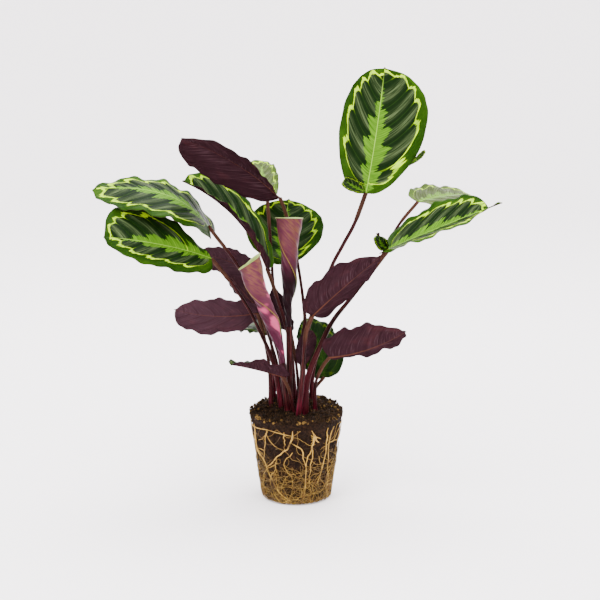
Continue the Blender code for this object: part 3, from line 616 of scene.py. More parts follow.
def add_blade(leaf, number, nodes):
    """A closed sheet: the ring pattern on top and the purple below."""
    columns, rows = BLADE_GRIDS[max(leaf.width) < SMALL_BLADE]
    u = np.linspace(-1, 1, columns + 1)
    v = (1 - np.cos(np.pi * np.linspace(0, 1, rows + 1))) / 2
    s, t = (grid.ravel() for grid in np.meshgrid(np.sign(u) * np.abs(u) ** 1.3, v))
    top, normal, from_rib, values = blade_surface(leaf, number, s, t)
    cord = RIB_HEIGHT * np.exp(-(from_rib / RIB_SPREAD) ** 2) * (1 - 0.75 * t)
    under = top - normal * (BLADE_THICKNESS + cord)[:, None]
    return add_sheet("leaf_" + leaf.name, top, under, columns, rows, (leaf_top, leaf_underside),
                     nodes, values)


blades = [add_blade(leaf, number, ["blade_" + leaf.name]) for number, leaf in enumerate(LEAVES)]
print("blades:", len(blades), "with", sum(len(blade.data.polygons) for blade in blades), "faces")

# %% [markdown]
# ## Curled bits
# Three blades have a corner or a margin that curls away on its own. Each is a very small
# blade made by the same function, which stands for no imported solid.

# %% The curled bits
CURLS = (
    Leaf("upper_right_lobe", (96.5, 84, 422.5), (81, 75, 430), (67.5, 81, 440), roll=(-62, -75),
         width=(10, 11), fold=(12, 12), curl=(30, 40), wave=(0.6, 2, 0.1), belly=(1.3, 1.3),
         point=0.7, lobe=0.1, tail=0),
    Leaf("upper_right_frill", (161.5, 100.5, 458.5), (173.5, 108, 467), (184, 110, 478),
         roll=(60, 95), width=(3.5, 4), fold=(10, 10), curl=(40, 40), wave=(1.4, 3, 0.3),
         belly=(1.5, 1.5), point=0.8, lobe=0, tail=0),
    Leaf("right_lobe", (125, -16, 357), (115, -25, 365), (112, -26, 380), roll=(-105, -115),
         width=(8.5, 9.5), fold=(8, 8), curl=(30, 30), wave=(0.6, 2, 0.1), belly=(1.3, 1.3),
         point=0.8, lobe=0.1, tail=0),
)
FIRST_CURL = 40      # their leaf numbers start here
curls = [add_blade(leaf, number, ()) for number, leaf in enumerate(CURLS, FIRST_CURL)]
print("curled bits:", len(curls))

# %% [markdown]
# ## Lines and tubes
# Stalks and roots are tubes. Each follows a smooth line through a few places, and a whole
# bundle of tubes is worked out in one go: an array of lines, an array of radii, and an
# array of directions that say which way each ring of points faces.

# %% Lines and tubes
PATH_STEPS = 24      # between each two places, before the path is cut evenly


def smooth_path(points, count):
    """A Catmull-Rom curve through the places, cut into equal steps."""
    p = np.array(points, float)
    p = np.vstack([2 * p[0] - p[1], p, 2 * p[-1] - p[-2]])
    v = np.linspace(0, 1, PATH_STEPS, endpoint=False)[:, None]
    runs = [0.5 * (2 * b + (c - a) * v + (2 * a - 5 * b + 4 * c - d) * v ** 2
                   + (3 * b - a - 3 * c + d) * v ** 3)
            for a, b, c, d in zip(p[:-3], p[1:-2], p[2:-1], p[3:])]
    return respaced(np.vstack(runs + [p[-2:-1]]), np.linspace(0, 1, count))


def lengths_along(points):
    """The distance from the first point to each one, along the path."""
    return np.concatenate([[0], np.cumsum(np.linalg.norm(np.diff(points, axis=0), axis=1))])


def respaced(points, shares):
    """Points at the given shares of a path's length."""
    run = lengths_along(points)
    return np.stack([np.interp(shares * run[-1], run, column) for column in points.T], axis=-1)


def tubes(lines, radii, outward, sides):
    """Closed tubes round many lines at once.

    lines is (tubes, stations, 3) and radii (tubes, stations). Each ring is
    radius (cos a x side + sin a x over), where side = line direction x outward.
    """
    count, stations = radii.shape
    ahead = unit(np.gradient(lines, axis=1))
    side = unit(np.cross(ahead, outward))
    over = np.cross(side, ahead)
    a = np.linspace(0, 2 * np.pi, sides, endpoint=False)[:, None]
    ring = np.cos(a) * side[:, :, None] + np.sin(a) * over[:, :, None]
    points = lines[:, :, None] + radii[:, :, None, None] * ring
    k = np.arange(sides)
    tube = np.arange(count)[:, None] * stations * sides      # the number of each tube's first point
    first = tube[:, :, None] + np.arange(stations - 1)[:, None] * sides
    here, there = first + k, first + (k + 1) % sides
    walls = np.stack([here, there, there + sides, here + sides], axis=-1).reshape(-1, 4)
    ends = [tube + k[::-1], tube + (stations - 1) * sides + k]
    return points.reshape(-1, 3), walls.tolist() + np.concatenate(ends).tolist()


print("tubes are ready")

# %% [markdown]
# ## Stalks
# A stalk of this plant has three parts. At the soil it is a fleshy sheath, crimson and
# glossy. Above that it is a thin dark red rod with a shallow groove. Its last few
# centimetres, which turn the leaf to the light, are a matt brown joint a little thicker
# than the rod. One material paints all three by the share of the length.

# %% The stalks' material
ROD_DARK, ROD_RED = (0.0060, 0.0011, 0.0012), (0.046, 0.0105, 0.0112)
FOOT_DARK, FOOT_CRIMSON = (0.0060, 0.0006, 0.0010), (0.040, 0.0038, 0.0065)
FOOT_BRIGHT, OLIVE = (0.105, 0.0075, 0.0230), (0.050, 0.026, 0.007)
JOINT_BROWN, JOINT_TAN = (0.018, 0.0070, 0.0045), (0.060, 0.026, 0.015)
STALK_SEED = 5.17      # how far each next stalk shifts its noise

stalk_skin, tree, shader = new_material("stalk skin", Specular_IOR_Level=0.03)
along, leaf_number, redness, to_tip, turn = (
    own(tree, name) for name in ("along", "leaf", "redness", "to_tip", "turn"))
seed = leaf_number * STALK_SEED
stripe = noise(stretched(turn * 1.6, along * 1.5, seed), 3.0)
blotch = noise(stretched(along * 5.0, turn, seed))
colour = mixed(step(stripe, 0.35, 0.75), ROD_DARK, ROD_RED)
flush = step(blotch, 0.46, 0.66) * step(along, 0.34, 0.16)
crimson = mixed(flush * 0.8, mixed(stripe, FOOT_DARK, FOOT_CRIMSON), FOOT_BRIGHT)
colour = mixed(step(along, 0.52, 0.18) * redness, colour, crimson)
colour = mixed(step(blotch, 0.60, 0.80) * 0.35, colour, OLIVE)
joint = step(to_tip, 0.046, 0.030)
colour = mixed(joint * 0.8, colour, mixed(stripe, JOINT_BROWN, JOINT_TAN))
show(tree, shader, colour, stripe, 0.35, 0.0006, roughness=joint * 0.25 + (stripe * 0.2 + 0.25))
print("stalk skin is painted by height, stripe and joint")

# %% [markdown]
# ### The tubes of the stalks
# A stalk starts upright inside the soil, thins from sheath to rod, and swells a little over
# its joint. A curve object with a round bevel could do that. An array of radii also gives
# the groove, and every ring of points knows how far it is from the leaf.

# %% The stalks
BALL_HEIGHT, STALK_DEPTH = 0.125, 0.020
SHEATH_RADIUS, STALK_RADIUS, JOINT_RADIUS = 0.0050, 0.0027, 0.0033
STALK_STATIONS, STALK_SIDES = 72, 20
JOINT_LENGTH, JOINT_BLEND = 0.042, 0.006
SHEATH_SHARE = 0.6                                 # of the length, over which a stalk thins
GROOVE_DEPTH, GROOVE_SPREAD = 0.16, 0.12           # share of the radius, and squared radians
FACES_FRONT = np.array([0.15, -1.0, 0.1])          # which way the first point of a ring is turned
FIRST_ROLLED, ROLLED_REDNESS = 20, 0.8             # the rolled leaves' first number, and their red


def stalk_path(foot, places):
    """Straight up through the soil, then past each place. Foot and places are in mm."""
    buried = [(*foot, 1000 * (BALL_HEIGHT - depth)) for depth in (STALK_DEPTH, STALK_DEPTH / 2, 0)]
    return smooth_path(np.array([*buried, *places]) / 1000, STALK_STATIONS)


def add_stalk(name, line, radii, number, redness, has_joint=True):
    """A grooved tube: radius x (1 - 0.16 exp(-angle^2 / 0.12)), with the angle from the groove."""
    shares = np.linspace(0, 1, len(line))
    outward = np.broadcast_to(FACES_FRONT, line.shape)
    points, faces = tubes(line[None], radii[None], outward[None], STALK_SIDES)
    a = np.linspace(0, 2 * np.pi, STALK_SIDES, endpoint=False)
    from_groove = (a - 1.9 - 0.5 * number) % (2 * np.pi) - 1.0
    groove = 1 - GROOVE_DEPTH * np.exp(-from_groove ** 2 / GROOVE_SPREAD)
    centre = np.repeat(line, STALK_SIDES, axis=0)
    points = centre + (points - centre) * np.tile(groove, len(line))[:, None]
    to_tip = (1 - shares) * lengths_along(line)[-1] if has_joint else np.ones(len(line))
    values = {"along": np.repeat(shares, STALK_SIDES), "to_tip": np.repeat(to_tip, STALK_SIDES),
              "turn": np.tile(np.cos(a) + 2 * np.sin(a), len(line)),
              "leaf": np.full(len(points), float(number)), "redness": np.full(len(points), redness)}
    make_piece("stem_" + name, points, faces, (stalk_skin,), ["stalk_" + name], values)


def stalk_radii(line, girth):
    """Sheath to rod over the first 0.6 of the length, with a swell over the joint's length."""
    shares = np.linspace(0, 1, len(line))
    rod = SHEATH_RADIUS + (STALK_RADIUS - SHEATH_RADIUS) * np.minimum(shares / SHEATH_SHARE, 1)
    to_tip = (1 - shares) * lengths_along(line)[-1]
    swell = np.clip((JOINT_LENGTH - to_tip) / JOINT_BLEND, 0, 1)
    swell = swell * swell * (3 - 2 * swell)
    return girth * (rod + (JOINT_RADIUS - STALK_RADIUS) * swell)


chance = np.random.default_rng(5)
for number, leaf in enumerate(LEAVES):
    line = stalk_path(leaf.foot, leaf.knees + (leaf.base,))
    add_stalk(leaf.name, line, stalk_radii(line, leaf.girth), number, chance.uniform(0.3, 1.0))
print("stalks:", len(LEAVES))

# %% [markdown]
# ## The rolled young leaves' colours
# A new leaf of this plant comes up rolled into a tube, with its pink underside out. Tan
# streaks run over the pink, magenta and wine red take over lower down, and the free edge
# is a yellow line. Each colour is laid over the last by a mask, as a painter glazes.

# %% The rolled leaves' materials
TAN, PINK, PAINTED_HIGHLIGHT_PINK = (0.130, 0.052, 0.026), (0.062, 0.013, 0.028), (0.400, 0.055, 0.125)
MAGENTA, WINE = (0.040, 0.0055, 0.0160), (0.0080, 0.0018, 0.0032)
INSIDE_DARK, INSIDE_LIGHT = (0.030, 0.070, 0.004), (0.150, 0.230, 0.022)
SEAM_YELLOW, LIP_GREEN = (0.160, 0.100, 0.018), (0.240, 0.330, 0.060)

rolled_outside, tree, shader = new_material("rolled leaf outside", Specular_IOR_Level=0.05)
down, around, number, side = (own(tree, name) for name in ("along", "around", "leaf", "side"))
slanted = around - down * 0.7
streak = noise(stretched(slanted * 9.0, down * 2.0, number), detail=3.0)
patch = noise(stretched(around * 2.6, down * 5.5, number * 3.1), detail=1.0)
mottle = noise(stretched(slanted * 26.0, down * 13.0, number), detail=3.0)
colour = mixed(step(mottle, 0.35, 0.65) * step(streak * 0.5 + down, 0.75, 0.25), PINK, TAN)
colour = mixed(step(patch, 0.45, 0.66) * step(down, 0.10, 0.40), colour, MAGENTA)
# Painted shade turns the left side of each roll magenta.
colour = mixed(step(side - streak * 0.5, -0.55, -1.10) * 0.8, colour, MAGENTA)
colour = mixed(step(mottle, 0.54, 0.72) * 0.45, colour, WINE)
# The left one, number 0, has a painted highlight in bright pink patches. The centre one,
# number 1, is wine red low down.
painted_highlight = step(streak * 0.2 + patch, 0.54, 0.44) * step(down, 0.12, 0.22)
colour = mixed(painted_highlight * (1.0 - number), colour, PAINTED_HIGHLIGHT_PINK)
low_wine = step(streak * 0.25 + down, 0.42, 0.78) * number
colour = mixed(low_wine + step(streak, 0.66, 0.50) * 0.10, colour, WINE)
colour = mixed(fade(around, 0.006, 0.022) * 0.9, colour, SEAM_YELLOW)
show(tree, shader, colour, streak, 0.4, 0.0008, roughness=streak * 0.25 + 0.30)

rolled_inside, tree, shader = new_material("rolled leaf inside", 0.45)
around, down = own(tree, "around"), own(tree, "along")
streak = noise(stretched(around * 22.0, down, 0.0))
colour = mixed(step(down, 0.10, 0.0), mixed(streak, INSIDE_DARK, INSIDE_LIGHT), LIP_GREEN)
show(tree, shader, colour, streak, 0.3, 0.0006)
print("rolled leaves: pink outside, green inside")

# %% [markdown]
# ### The spiral of a rolled leaf
# Later the leaf opens from the top. Until then it is a spiral round a path: one turn and a
# fifth, each turn just inside the last, and it tapers to the stalk. A cylinder would lack
# the free edge and the slanting lip that show how it is rolled.

# %% The rolled leaves
SHEET_THICKNESS, SHEET_STEP = 0.0006, 0.00192      # how much nearer to the path each turn lies
ROLL_COLUMNS, ROLL_ROWS, PATH_STATIONS = 120, 90, 80
LIP_RIPPLE, LIP_FLARE, LIP_DIP = 0.0012, 0.0016, 0.24
DENT, FINE_DENT, PLEATS = 0.0009, 0.0005, 0.0003


def roll_surface(leaf, s, t):
    """A spiral: angle = seam - 360 turned, radius = path radius - turned x step, with dents."""
    shares = lengths_along(np.array(leaf.path))
    line = smooth_path(np.array(leaf.path) / 1000, PATH_STATIONS)
    radius = np.interp(t, shares / shares[-1], leaf.radii) / 1000
    axis = unit(respaced(line, np.clip(t + 0.02, 0, 1)) - respaced(line, np.clip(t - 0.02, 0, 1)))
    front = unit(np.array([0, -1.0, 0]) - axis * -axis[:, 1:2])
    right = np.cross(front, axis)
    turned = (s + 1) / 2 * leaf.turns
    angle = np.radians(leaf.seam[0] * (1 - t) + leaf.seam[1] * t) - 2 * np.pi * turned
    ripple = LIP_RIPPLE * np.sin(3 * angle + 5) * np.clip(1 - t / 0.35, 0, 1)
    dents = DENT * np.sin(2 * angle + 11 * t + 1.3) * np.sin(np.pi * t)
    dents += FINE_DENT * np.sin(23 * t + angle)
    radius = radius - turned * SHEET_STEP
    out = np.cos(angle)[:, None] * right + np.sin(angle)[:, None] * front
    lip = leaf.slant / 2000 * np.cos(angle) + LIP_DIP * radius * np.sin(angle)
    lip = lip * np.clip(1 - t / 0.25, 0, 1)
    flare = LIP_FLARE * np.clip(1 - t / 0.04, 0, 1) ** 2
    folds = ripple + PLEATS * np.sin(40 * turned - 12 * t)
    swell = radius + flare + folds + dents * np.clip((1 - t) * 8, 0, 1)
    return respaced(line, t) + out * swell[:, None] - axis * lip[:, None], out, turned


def add_roll(leaf, number):
    """The closed sheet of a rolled leaf."""
    s, t = (grid.ravel() for grid in np.meshgrid(np.linspace(-1, 1, ROLL_COLUMNS + 1),
                                                 np.linspace(0, 1, ROLL_ROWS + 1) ** 1.1))
    outer, out, turned = roll_surface(leaf, s, t)
    values = {"along": t, "around": turned, "side": out[:, 0],
              "leaf": np.full(len(t), float(number))}
    add_sheet("young_" + leaf.name, outer, outer - out * SHEET_THICKNESS, ROLL_COLUMNS, ROLL_ROWS,
              (rolled_outside, rolled_inside), ["roll_" + leaf.name], values)


for number, leaf in enumerate(ROLLED_LEAVES):
    add_roll(leaf, number)
    line = stalk_path(leaf.foot, [leaf.path[-1]])
    radii = np.linspace(SHEATH_RADIUS, leaf.radii[-1] / 1000 * 1.02, STALK_STATIONS)
    add_stalk("roll_" + leaf.name, line, radii, FIRST_ROLLED + number, ROLLED_REDNESS, False)
print("rolled leaves:", len(ROLLED_LEAVES))

# %% [markdown]
# ## The soil ball
# The pot gave the ball its cone shape, and the roots hold it. The soil itself is a dark,
# crumbly mix. The surface is turned round a profile and pushed in and out by smooth random
# values of several sizes, worked out on a lattice. On top lie loose crumbs of bark and
# clay. Hundreds of them share one twenty-sided shape.

# %% Smooth random values
LATTICE = 64                                       # corners along each edge, after which it repeats
BALL_TOP_RADIUS, BALL_FOOT_RADIUS = 0.0655, 0.0465
BALL_FOOT_ROUNDING, BALL_FOOT_SPREAD = 0.006, 0.12
SOIL_BUMP, SOIL_HILL = 0.0035, 0.010
LUMPS = ((0.0012, 0.009, 1), (0.0009, 0.004, 2), (0.0005, 0.0018, 3))      # height, size and seed


def lattice_noise(points, cell, seed):
    """Random values at the corners of a lattice, blended smoothly between them. From -1 to 1."""
    values = np.random.default_rng(seed).uniform(-1, 1, (LATTICE, LATTICE, LATTICE))
    corner = np.floor(points / cell).astype(int)
    share = points / cell - corner
    share = share * share * (3 - 2 * share)
    total = np.zeros(len(points))
    for offset in np.ndindex(2, 2, 2):
        weight = np.abs(1 - np.array(offset) - share).prod(axis=1)
        total += weight * values[tuple((corner + offset).T % LATTICE)]
    return total


def at_angle(radius, angle):
    """x and y at a radius and an angle, which is counted from the front to the right."""
    return radius * np.sin(angle), -radius * np.cos(angle)


def ball_radius(height):
    """The radius at a height, like the inside of the pot."""
    return BALL_FOOT_RADIUS + (BALL_TOP_RADIUS - BALL_FOOT_RADIUS) * height / BALL_HEIGHT


def soil_relief(x, y):
    """Crossing waves, and a hill behind the stalks."""
    lumps = (np.sin(95 * x + 1.0) * np.cos(110 * y) + 0.7 * np.sin(210 * x - 160 * y)
             + 0.5 * np.cos(260 * y + 150 * x + 2.0)) / 2.2
    hill = np.clip(1 - (x / 0.058) ** 2 - ((y - 0.030) / 0.040) ** 2, 0, 1)
    return SOIL_BUMP * lumps + SOIL_HILL * hill


def ring_walls(rings, sides):
    """Faces between rings of points that follow each other."""
    here = np.arange(sides)
    after = (here + 1) % sides
    start = (np.arange(rings - 1) * sides)[:, None]
    return np.stack([start + here, start + sides + here, start + sides + after, start + after],
                    axis=-1).reshape(-1, 4).tolist()


def fan(first, sides, pole, outward=True):
    """Triangles from the ring that starts at a point to its pole."""
    pairs = [(first + k, first + (k + 1) % sides) for k in range(sides)]
    return [(a, b, pole) if outward else (b, a, pole) for a, b in pairs]


print("noise sample:", lattice_noise(np.array([[0.01, 0.02, 0.03]]), *LUMPS[1][1:]).round(3))

# %% [markdown]
# ### The ball's skin
# The ball is a solid of revolution, so a spun profile gives its cone and its flat foot.
# The random lumps push it outwards on the side and upwards on the top. Its material is
# nearly black, with brown grains that come from noise in the piece's own coordinates.

# %% The soil
SOIL_BLACK, SOIL_BROWN = (0.0024, 0.0010, 0.0004), (0.016, 0.0076, 0.0036)
SOIL_CLUMP = (0.030, 0.014, 0.0055)
CRUMB_BROWN, CRUMB_TAN = (0.075, 0.038, 0.009), (0.240, 0.142, 0.038)
TOP_SHARES = (0.0, 0.2, 0.4, 0.6, 0.8, 0.93)       # of the top's radius
SIDE_SHARES = (0.965, 0.85, 0.65, 0.45, 0.25)      # of the height
FOOT_DEGREES = (0, 35, 65, 90)                     # round the foot's edge
SOIL_SIDES, SOIL_ROWS = 300, 230
CRUMBLE, CRUMBLE_SINK = 1.3, 0.0006                # strength of the lumps, and how far they sink in

soil, tree, shader = new_material("soil", 0.92, Specular_IOR_Level=0.08)
place = object_place(tree)
grain, clump = noise(place, 420.0, 4.0, 0.6), noise(place, 110.0)
colour = mixed(step(grain, 0.35, 0.70), SOIL_BLACK, SOIL_BROWN)
colour = mixed(step(clump, 0.55, 0.75) * 0.5, colour, SOIL_CLUMP)
colour = mixed(own(tree, "tone"), colour, mixed(grain, CRUMB_BROWN, CRUMB_TAN))
show(tree, shader, colour, grain, 0.8, 0.0012)

profile = [(share * BALL_TOP_RADIUS, BALL_HEIGHT) for share in TOP_SHARES]
profile += [(ball_radius(share * BALL_HEIGHT), share * BALL_HEIGHT) for share in SIDE_SHARES]
profile += [(BALL_FOOT_RADIUS + BALL_FOOT_ROUNDING * (math.cos(a) - 1 + BALL_FOOT_SPREAD),
             BALL_FOOT_ROUNDING * (1 - math.sin(a))) for a in np.radians(FOOT_DEGREES)]
profile = np.array([*profile, (0.0, 0.0)])


def soil_surface(turn, t):
    """The profile turned round, with relief on the top and crumbs all over."""
    run = lengths_along(profile) / lengths_along(profile)[-1]
    radius, height = np.interp(t, run, profile[:, 0]), np.interp(t, run, profile[:, 1])
    x, y = at_angle(radius, turn)
    on_top = np.clip((height - 0.95 * BALL_HEIGHT) / (0.05 * BALL_HEIGHT), 0, 1)
    points = np.stack([x, y, height + soil_relief(x, y) * on_top], axis=-1)
    side = np.clip(radius / 0.02, 0, 1) * np.clip(height / 0.004, 0, 1)      # none below
    lumps = sum(size * lattice_noise(points, cell, seed) for size, cell, seed in LUMPS)
    amount = CRUMBLE * lumps - CRUMBLE_SINK
    outward = np.stack([*at_angle(1 - on_top, turn), on_top], axis=-1)
    return points + outward * (amount * np.where(on_top > 0.5, 1, side))[:, None]


turn, t = np.meshgrid(np.linspace(0, 2 * np.pi, SOIL_SIDES, endpoint=False),
                      np.linspace(0, 1, SOIL_ROWS + 1)[1:-1])
skin = soil_surface(turn.ravel(), t.ravel())
points = np.vstack([skin, [[0, 0, soil_surface(np.zeros(1), np.zeros(1))[0, 2]], [0, 0, 0]]])
faces = (ring_walls(SOIL_ROWS - 1, SOIL_SIDES) + fan(0, SOIL_SIDES, len(skin))
         + fan(len(skin) - SOIL_SIDES, SOIL_SIDES, len(skin) + 1, outward=False))
make_piece("soil", points, faces, (soil,), ["soil_ball"], {"tone": np.zeros(len(points))})
print("soil:", len(points), "points")

# %% [markdown]
# ## Crumbs
# Loose crumbs lie thickest where the stalks come out and along the rim. Each is a
# twenty-sided lump, squashed and turned at random, so a thousand of them stay light.

# %% Crumbs on the soil
GOLDEN = (1 + 5 ** 0.5) / 2
LUMP = unit(np.array([(-1, GOLDEN, 0), (1, GOLDEN, 0), (-1, -GOLDEN, 0), (1, -GOLDEN, 0),
                      (0, -1, GOLDEN), (0, 1, GOLDEN), (0, -1, -GOLDEN), (0, 1, -GOLDEN),
                      (GOLDEN, 0, -1), (GOLDEN, 0, 1), (-GOLDEN, 0, -1), (-GOLDEN, 0, 1)]))
LUMP_FACES = np.array([(0, 11, 5), (0, 5, 1), (0, 1, 7), (0, 7, 10), (0, 10, 11), (1, 5, 9),
                       (5, 11, 4), (11, 10, 2), (10, 7, 6), (7, 1, 8), (3, 9, 4), (3, 4, 2),
                       (3, 2, 6), (3, 6, 8), (3, 8, 9), (4, 9, 5), (2, 4, 11), (6, 2, 10),
                       (8, 6, 7), (9, 8, 1)])
TOP_CRUMBS, TOP_TAN = 2600, 0.022                  # their count, and the share of tan ones
RIM_CRUMBS, RIM_START, RIM_DROP = 620, 0.93, 0.002
FULL_TONE, LARGE_TONE = (0.3, 1.0), 0.42           # tones of tan crumbs
LARGE_CRUMBS = np.array([(-58, 3, 3.4), (-53, -8, 2.8), (-41, 31, 3.0), (31, 24, 3.8),
                         (55, 6, 3.2), (47, 18, 3.0), (58, -12, 2.6), (-20, -52, 2.4)]) / 1000


def random_turns(chance, count):
    """Random rotation matrices from unit quaternions."""
    w, x, y, z = unit(chance.normal(size=(count, 4))).T
    return np.stack([1 - 2 * (y * y + z * z), 2 * (x * y - w * z), 2 * (x * z + w * y),
                     2 * (x * y + w * z), 1 - 2 * (x * x + z * z), 2 * (y * z - w * x),
                     2 * (x * z - w * y), 2 * (y * z + w * x), 1 - 2 * (x * x + y * y)],
                    axis=-1).reshape(-1, 3, 3)


def add_crumbs(name, x, y, height, sizes, tones, seed):
    """Lumps at the places: squashed lump x size, turned, and moved there."""
    chance, count = np.random.default_rng(seed), len(x)
    places = np.stack([x, y, height], axis=-1)
    shapes = LUMP[None] * chance.uniform(0.75, 1.15, (count, len(LUMP), 1))
    shapes = shapes * chance.uniform(0.55, 1.0, (count, 1, 3))
    turned = np.einsum("nij,nkj->nki", random_turns(chance, count), shapes)
    points = turned * sizes[:, None, None] + places[:, None]
    faces = LUMP_FACES[None] + len(LUMP) * np.arange(count)[:, None, None]
    make_piece(name, points.reshape(-1, 3), faces.reshape(-1, 3).tolist(), (soil,), (),
               {"tone": np.repeat(tones, len(LUMP))})


chance = np.random.default_rng(11)
distance = BALL_TOP_RADIUS * np.sqrt(chance.uniform(0, 0.985, TOP_CRUMBS))
angle = chance.uniform(0, 2 * np.pi, TOP_CRUMBS)
x, y = at_angle(distance, angle)
size = 0.0007 + 0.0024 * chance.uniform(0, 1, TOP_CRUMBS) ** 3
tone = np.where(chance.uniform(0, 1, TOP_CRUMBS) < TOP_TAN, chance.uniform(*FULL_TONE, TOP_CRUMBS),
                chance.uniform(0, 0.06, TOP_CRUMBS))
add_crumbs("crumbs_top", x, y, BALL_HEIGHT + soil_relief(x, y) + 0.35 * size, size, tone, 12)

angle = chance.uniform(0, 2 * np.pi, RIM_CRUMBS)
distance = BALL_TOP_RADIUS * chance.uniform(RIM_START, 1.0, RIM_CRUMBS)
x, y = at_angle(distance, angle)
size = 0.0008 + 0.0022 * chance.uniform(0, 1, RIM_CRUMBS) ** 2.5
height = BALL_HEIGHT - RIM_DROP + chance.uniform(-0.0025, 0.002, RIM_CRUMBS)
height = height + 0.6 * soil_relief(x, y)
in_group = np.sin(7 * angle + 1) + 0.6 * np.sin(17 * angle) > 0.2      # where most tan ones lie
tan = chance.uniform(0, 1, RIM_CRUMBS) < np.where(in_group, 0.5, 0.06)
tone = np.where(tan, chance.uniform(*FULL_TONE, RIM_CRUMBS), 0.03)
large_x, large_y, large_size = LARGE_CRUMBS.T
large_height = BALL_HEIGHT + soil_relief(large_x, large_y) + 0.0012
large_tone = np.full(len(LARGE_CRUMBS), LARGE_TONE)
add_crumbs("crumbs_rim", np.append(x, large_x), np.append(y, large_y),
           np.append(height, large_height), np.append(size, large_size),
           np.append(tone, large_tone), 13)
print("crumbs:", TOP_CRUMBS + RIM_CRUMBS, "and", len(LARGE_CRUMBS), "large ones")

# %% [markdown]
# ## Roots
# Roots that met the pot's wall turned and ran down and round it. A few are thick, like
# cords. Most are fine, and the finest make a tan mat near the bottom. The thick ones
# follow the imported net. The fine ones start at random places and wander: each step adds a
# small random turn to the heading, all roots at once.

# %% The roots' material
ROOT_BROWN, ROOT_CREAM = (0.020, 0.011, 0.0028), (0.400, 0.235, 0.042)
ROOT_TAN, GRIME = (0.100, 0.044, 0.0085), (0.018, 0.008, 0.003)

root_skin, tree, shader = new_material("root skin", 0.62, Specular_IOR_Level=0.2)
place = object_place(tree)
blotch, grime = noise(place, 160.0, 3.0), noise(place, 45.0)
colour = mixed(own(tree, "shade"), ROOT_BROWN, ROOT_CREAM)
colour = mixed(step(blotch, 0.49, 0.66) * 0.65, colour, ROOT_TAN)
colour = mixed(step(grime, 0.58, 0.72) * 0.75, colour, GRIME)
show(tree, shader, colour, blotch, 0.4, 0.0008)
print("roots run from cream to brown")

# %% [markdown]
# ### The thick roots
# The front ones are drawn through knots that follow the photograph's main roots. The back
# ones run down at even angles, and two circle the ball, as roots do when a pot stops them.
# Each is a tube with random knobs and a little random sway, so that no two look alike.

# %% The thick roots
# Knots are the degrees to the right of the front and the height in mm.
FRONT_ROOTS = (
    ((-83, 109), (-59, 108), (-38, 110), (-17, 107), (-6, 105)),
    ((-38, 110), (-42, 98), (-48, 75), (-52, 62)),
    ((-38, 108), (-48, 95), (-58, 90)),
    ((-40, 101), (-31, 90), (-20, 83)),
    ((-4, 112), (-6, 97), (-10, 87), (-18, 80), (-30, 68), (-44, 54)),
    ((-15, 110), (-15, 82)),
    ((-6, 97), (-3, 105), (5, 112)),
    ((-6, 94), (1, 90), (7, 84), (10, 71), (14, 53), (14, 33), (12, 14)),
    ((20, 112), (23, 95), (21, 88), (16, 72), (13, 54)),
    ((22, 90), (22, 72), (20, 53), (20, 34)),
    ((42, 112), (43, 74), (40, 49), (34, 30)),
    ((54, 112), (48, 98), (49, 77), (52, 51), (57, 30), (56, 10)),
    ((-64, 112), (-66, 77), (-52, 62), (-44, 45), (-34, 27), (-22, 13), (-8, 5)),
    ((-28, 70), (-30, 54), (-31, 34), (-29, 20)),
)
FRONT_GIRTHS = (0.50, 0.44, 0.36, 0.34, 0.72, 0.46, 0.30, 0.56, 0.64, 0.54, 0.58, 0.46, 0.70, 0.34)
BACK_ROOTS, BACK_START, BACK_SPAN, BACK_HEIGHTS = 8, 78, 204, (112, 88, 62, 34, 10)
CIRCLING_HEIGHTS, CIRCLING_GIRTH, CIRCLING_SHADES = (31, 8), 0.55, (0.30, 0.15)
ROOT_RADIUS, ROOT_LIFT, ROOT_SWAY = 0.0015, 0.0012, 0.0012
ROOT_STATIONS, ROOT_SIDES = 90, 9
KNOBS, KNOB_HEIGHT, SWAYS = 22, 0.24, 12           # to a root, and a knob's share of the radius


def on_ball(arc, height, lift):
    """Places on the ball. The angle is the arc length divided by the ball's radius there."""
    radius = ball_radius(height)
    angle, out = arc / radius, radius + lift
    return np.stack([*at_angle(out, angle), height], axis=-1)


def root_bundle(name, arcs, heights, lifts, radii, sides, shades, nodes=()):
    """Tubes along many lines on the ball."""
    lines = on_ball(arcs, heights, lifts)
    points, faces = tubes(lines, radii, unit(lines * np.array([1, 1, 0])), sides)
    return make_piece(name, points, faces, (root_skin,), nodes,
                      {"shade": np.repeat(shades, radii.shape[1] * sides)})


def knotted(knots):
    """A smooth line through knots, as arc lengths and heights."""
    degrees, height = np.array(knots, float).T
    arc = np.radians(degrees) * ball_radius(height / 1000)
    return smooth_path(np.stack([arc, height / 1000], axis=-1), ROOT_STATIONS)


def varied(chance, count, shares, steps):
    """Random values from -1 to 1 at even steps along each root, with straight runs between them."""
    rows = [chance.uniform(-1, 1, steps + 1) for _ in range(count)]
    return np.array([np.interp(shares * steps, np.arange(steps + 1), row) for row in rows])


chance = np.random.default_rng(7)
back = [[(BACK_START + BACK_SPAN * (n + 0.5) / BACK_ROOTS + chance.uniform(-9, 9) * k, height)
         for k, height in enumerate(BACK_HEIGHTS)] for n in range(BACK_ROOTS)]
circling = []
for height in CIRCLING_HEIGHTS:
    degrees = np.arange(-180, 195, 15)
    wander = np.sin(np.radians(degrees * 3)) + 0.6 * np.sin(np.radians(degrees * 7 + height))
    circling.append(list(zip(degrees, height * (1 + 0.09 * wander))))
lines = np.array([knotted(knots) for knots in [*FRONT_ROOTS, *back, *circling]])
count, front, shares = len(lines), len(FRONT_ROOTS), np.linspace(0, 1, ROOT_STATIONS)
knobs = 1 + KNOB_HEIGHT * varied(chance, count, shares, KNOBS)
girths = 0.34 + 0.66 * chance.uniform(0, 1, (count, 1)) ** 1.6
girths[:front, 0] = FRONT_GIRTHS
radii = ROOT_RADIUS * (1.0 - 0.45 * shares) * girths * knobs
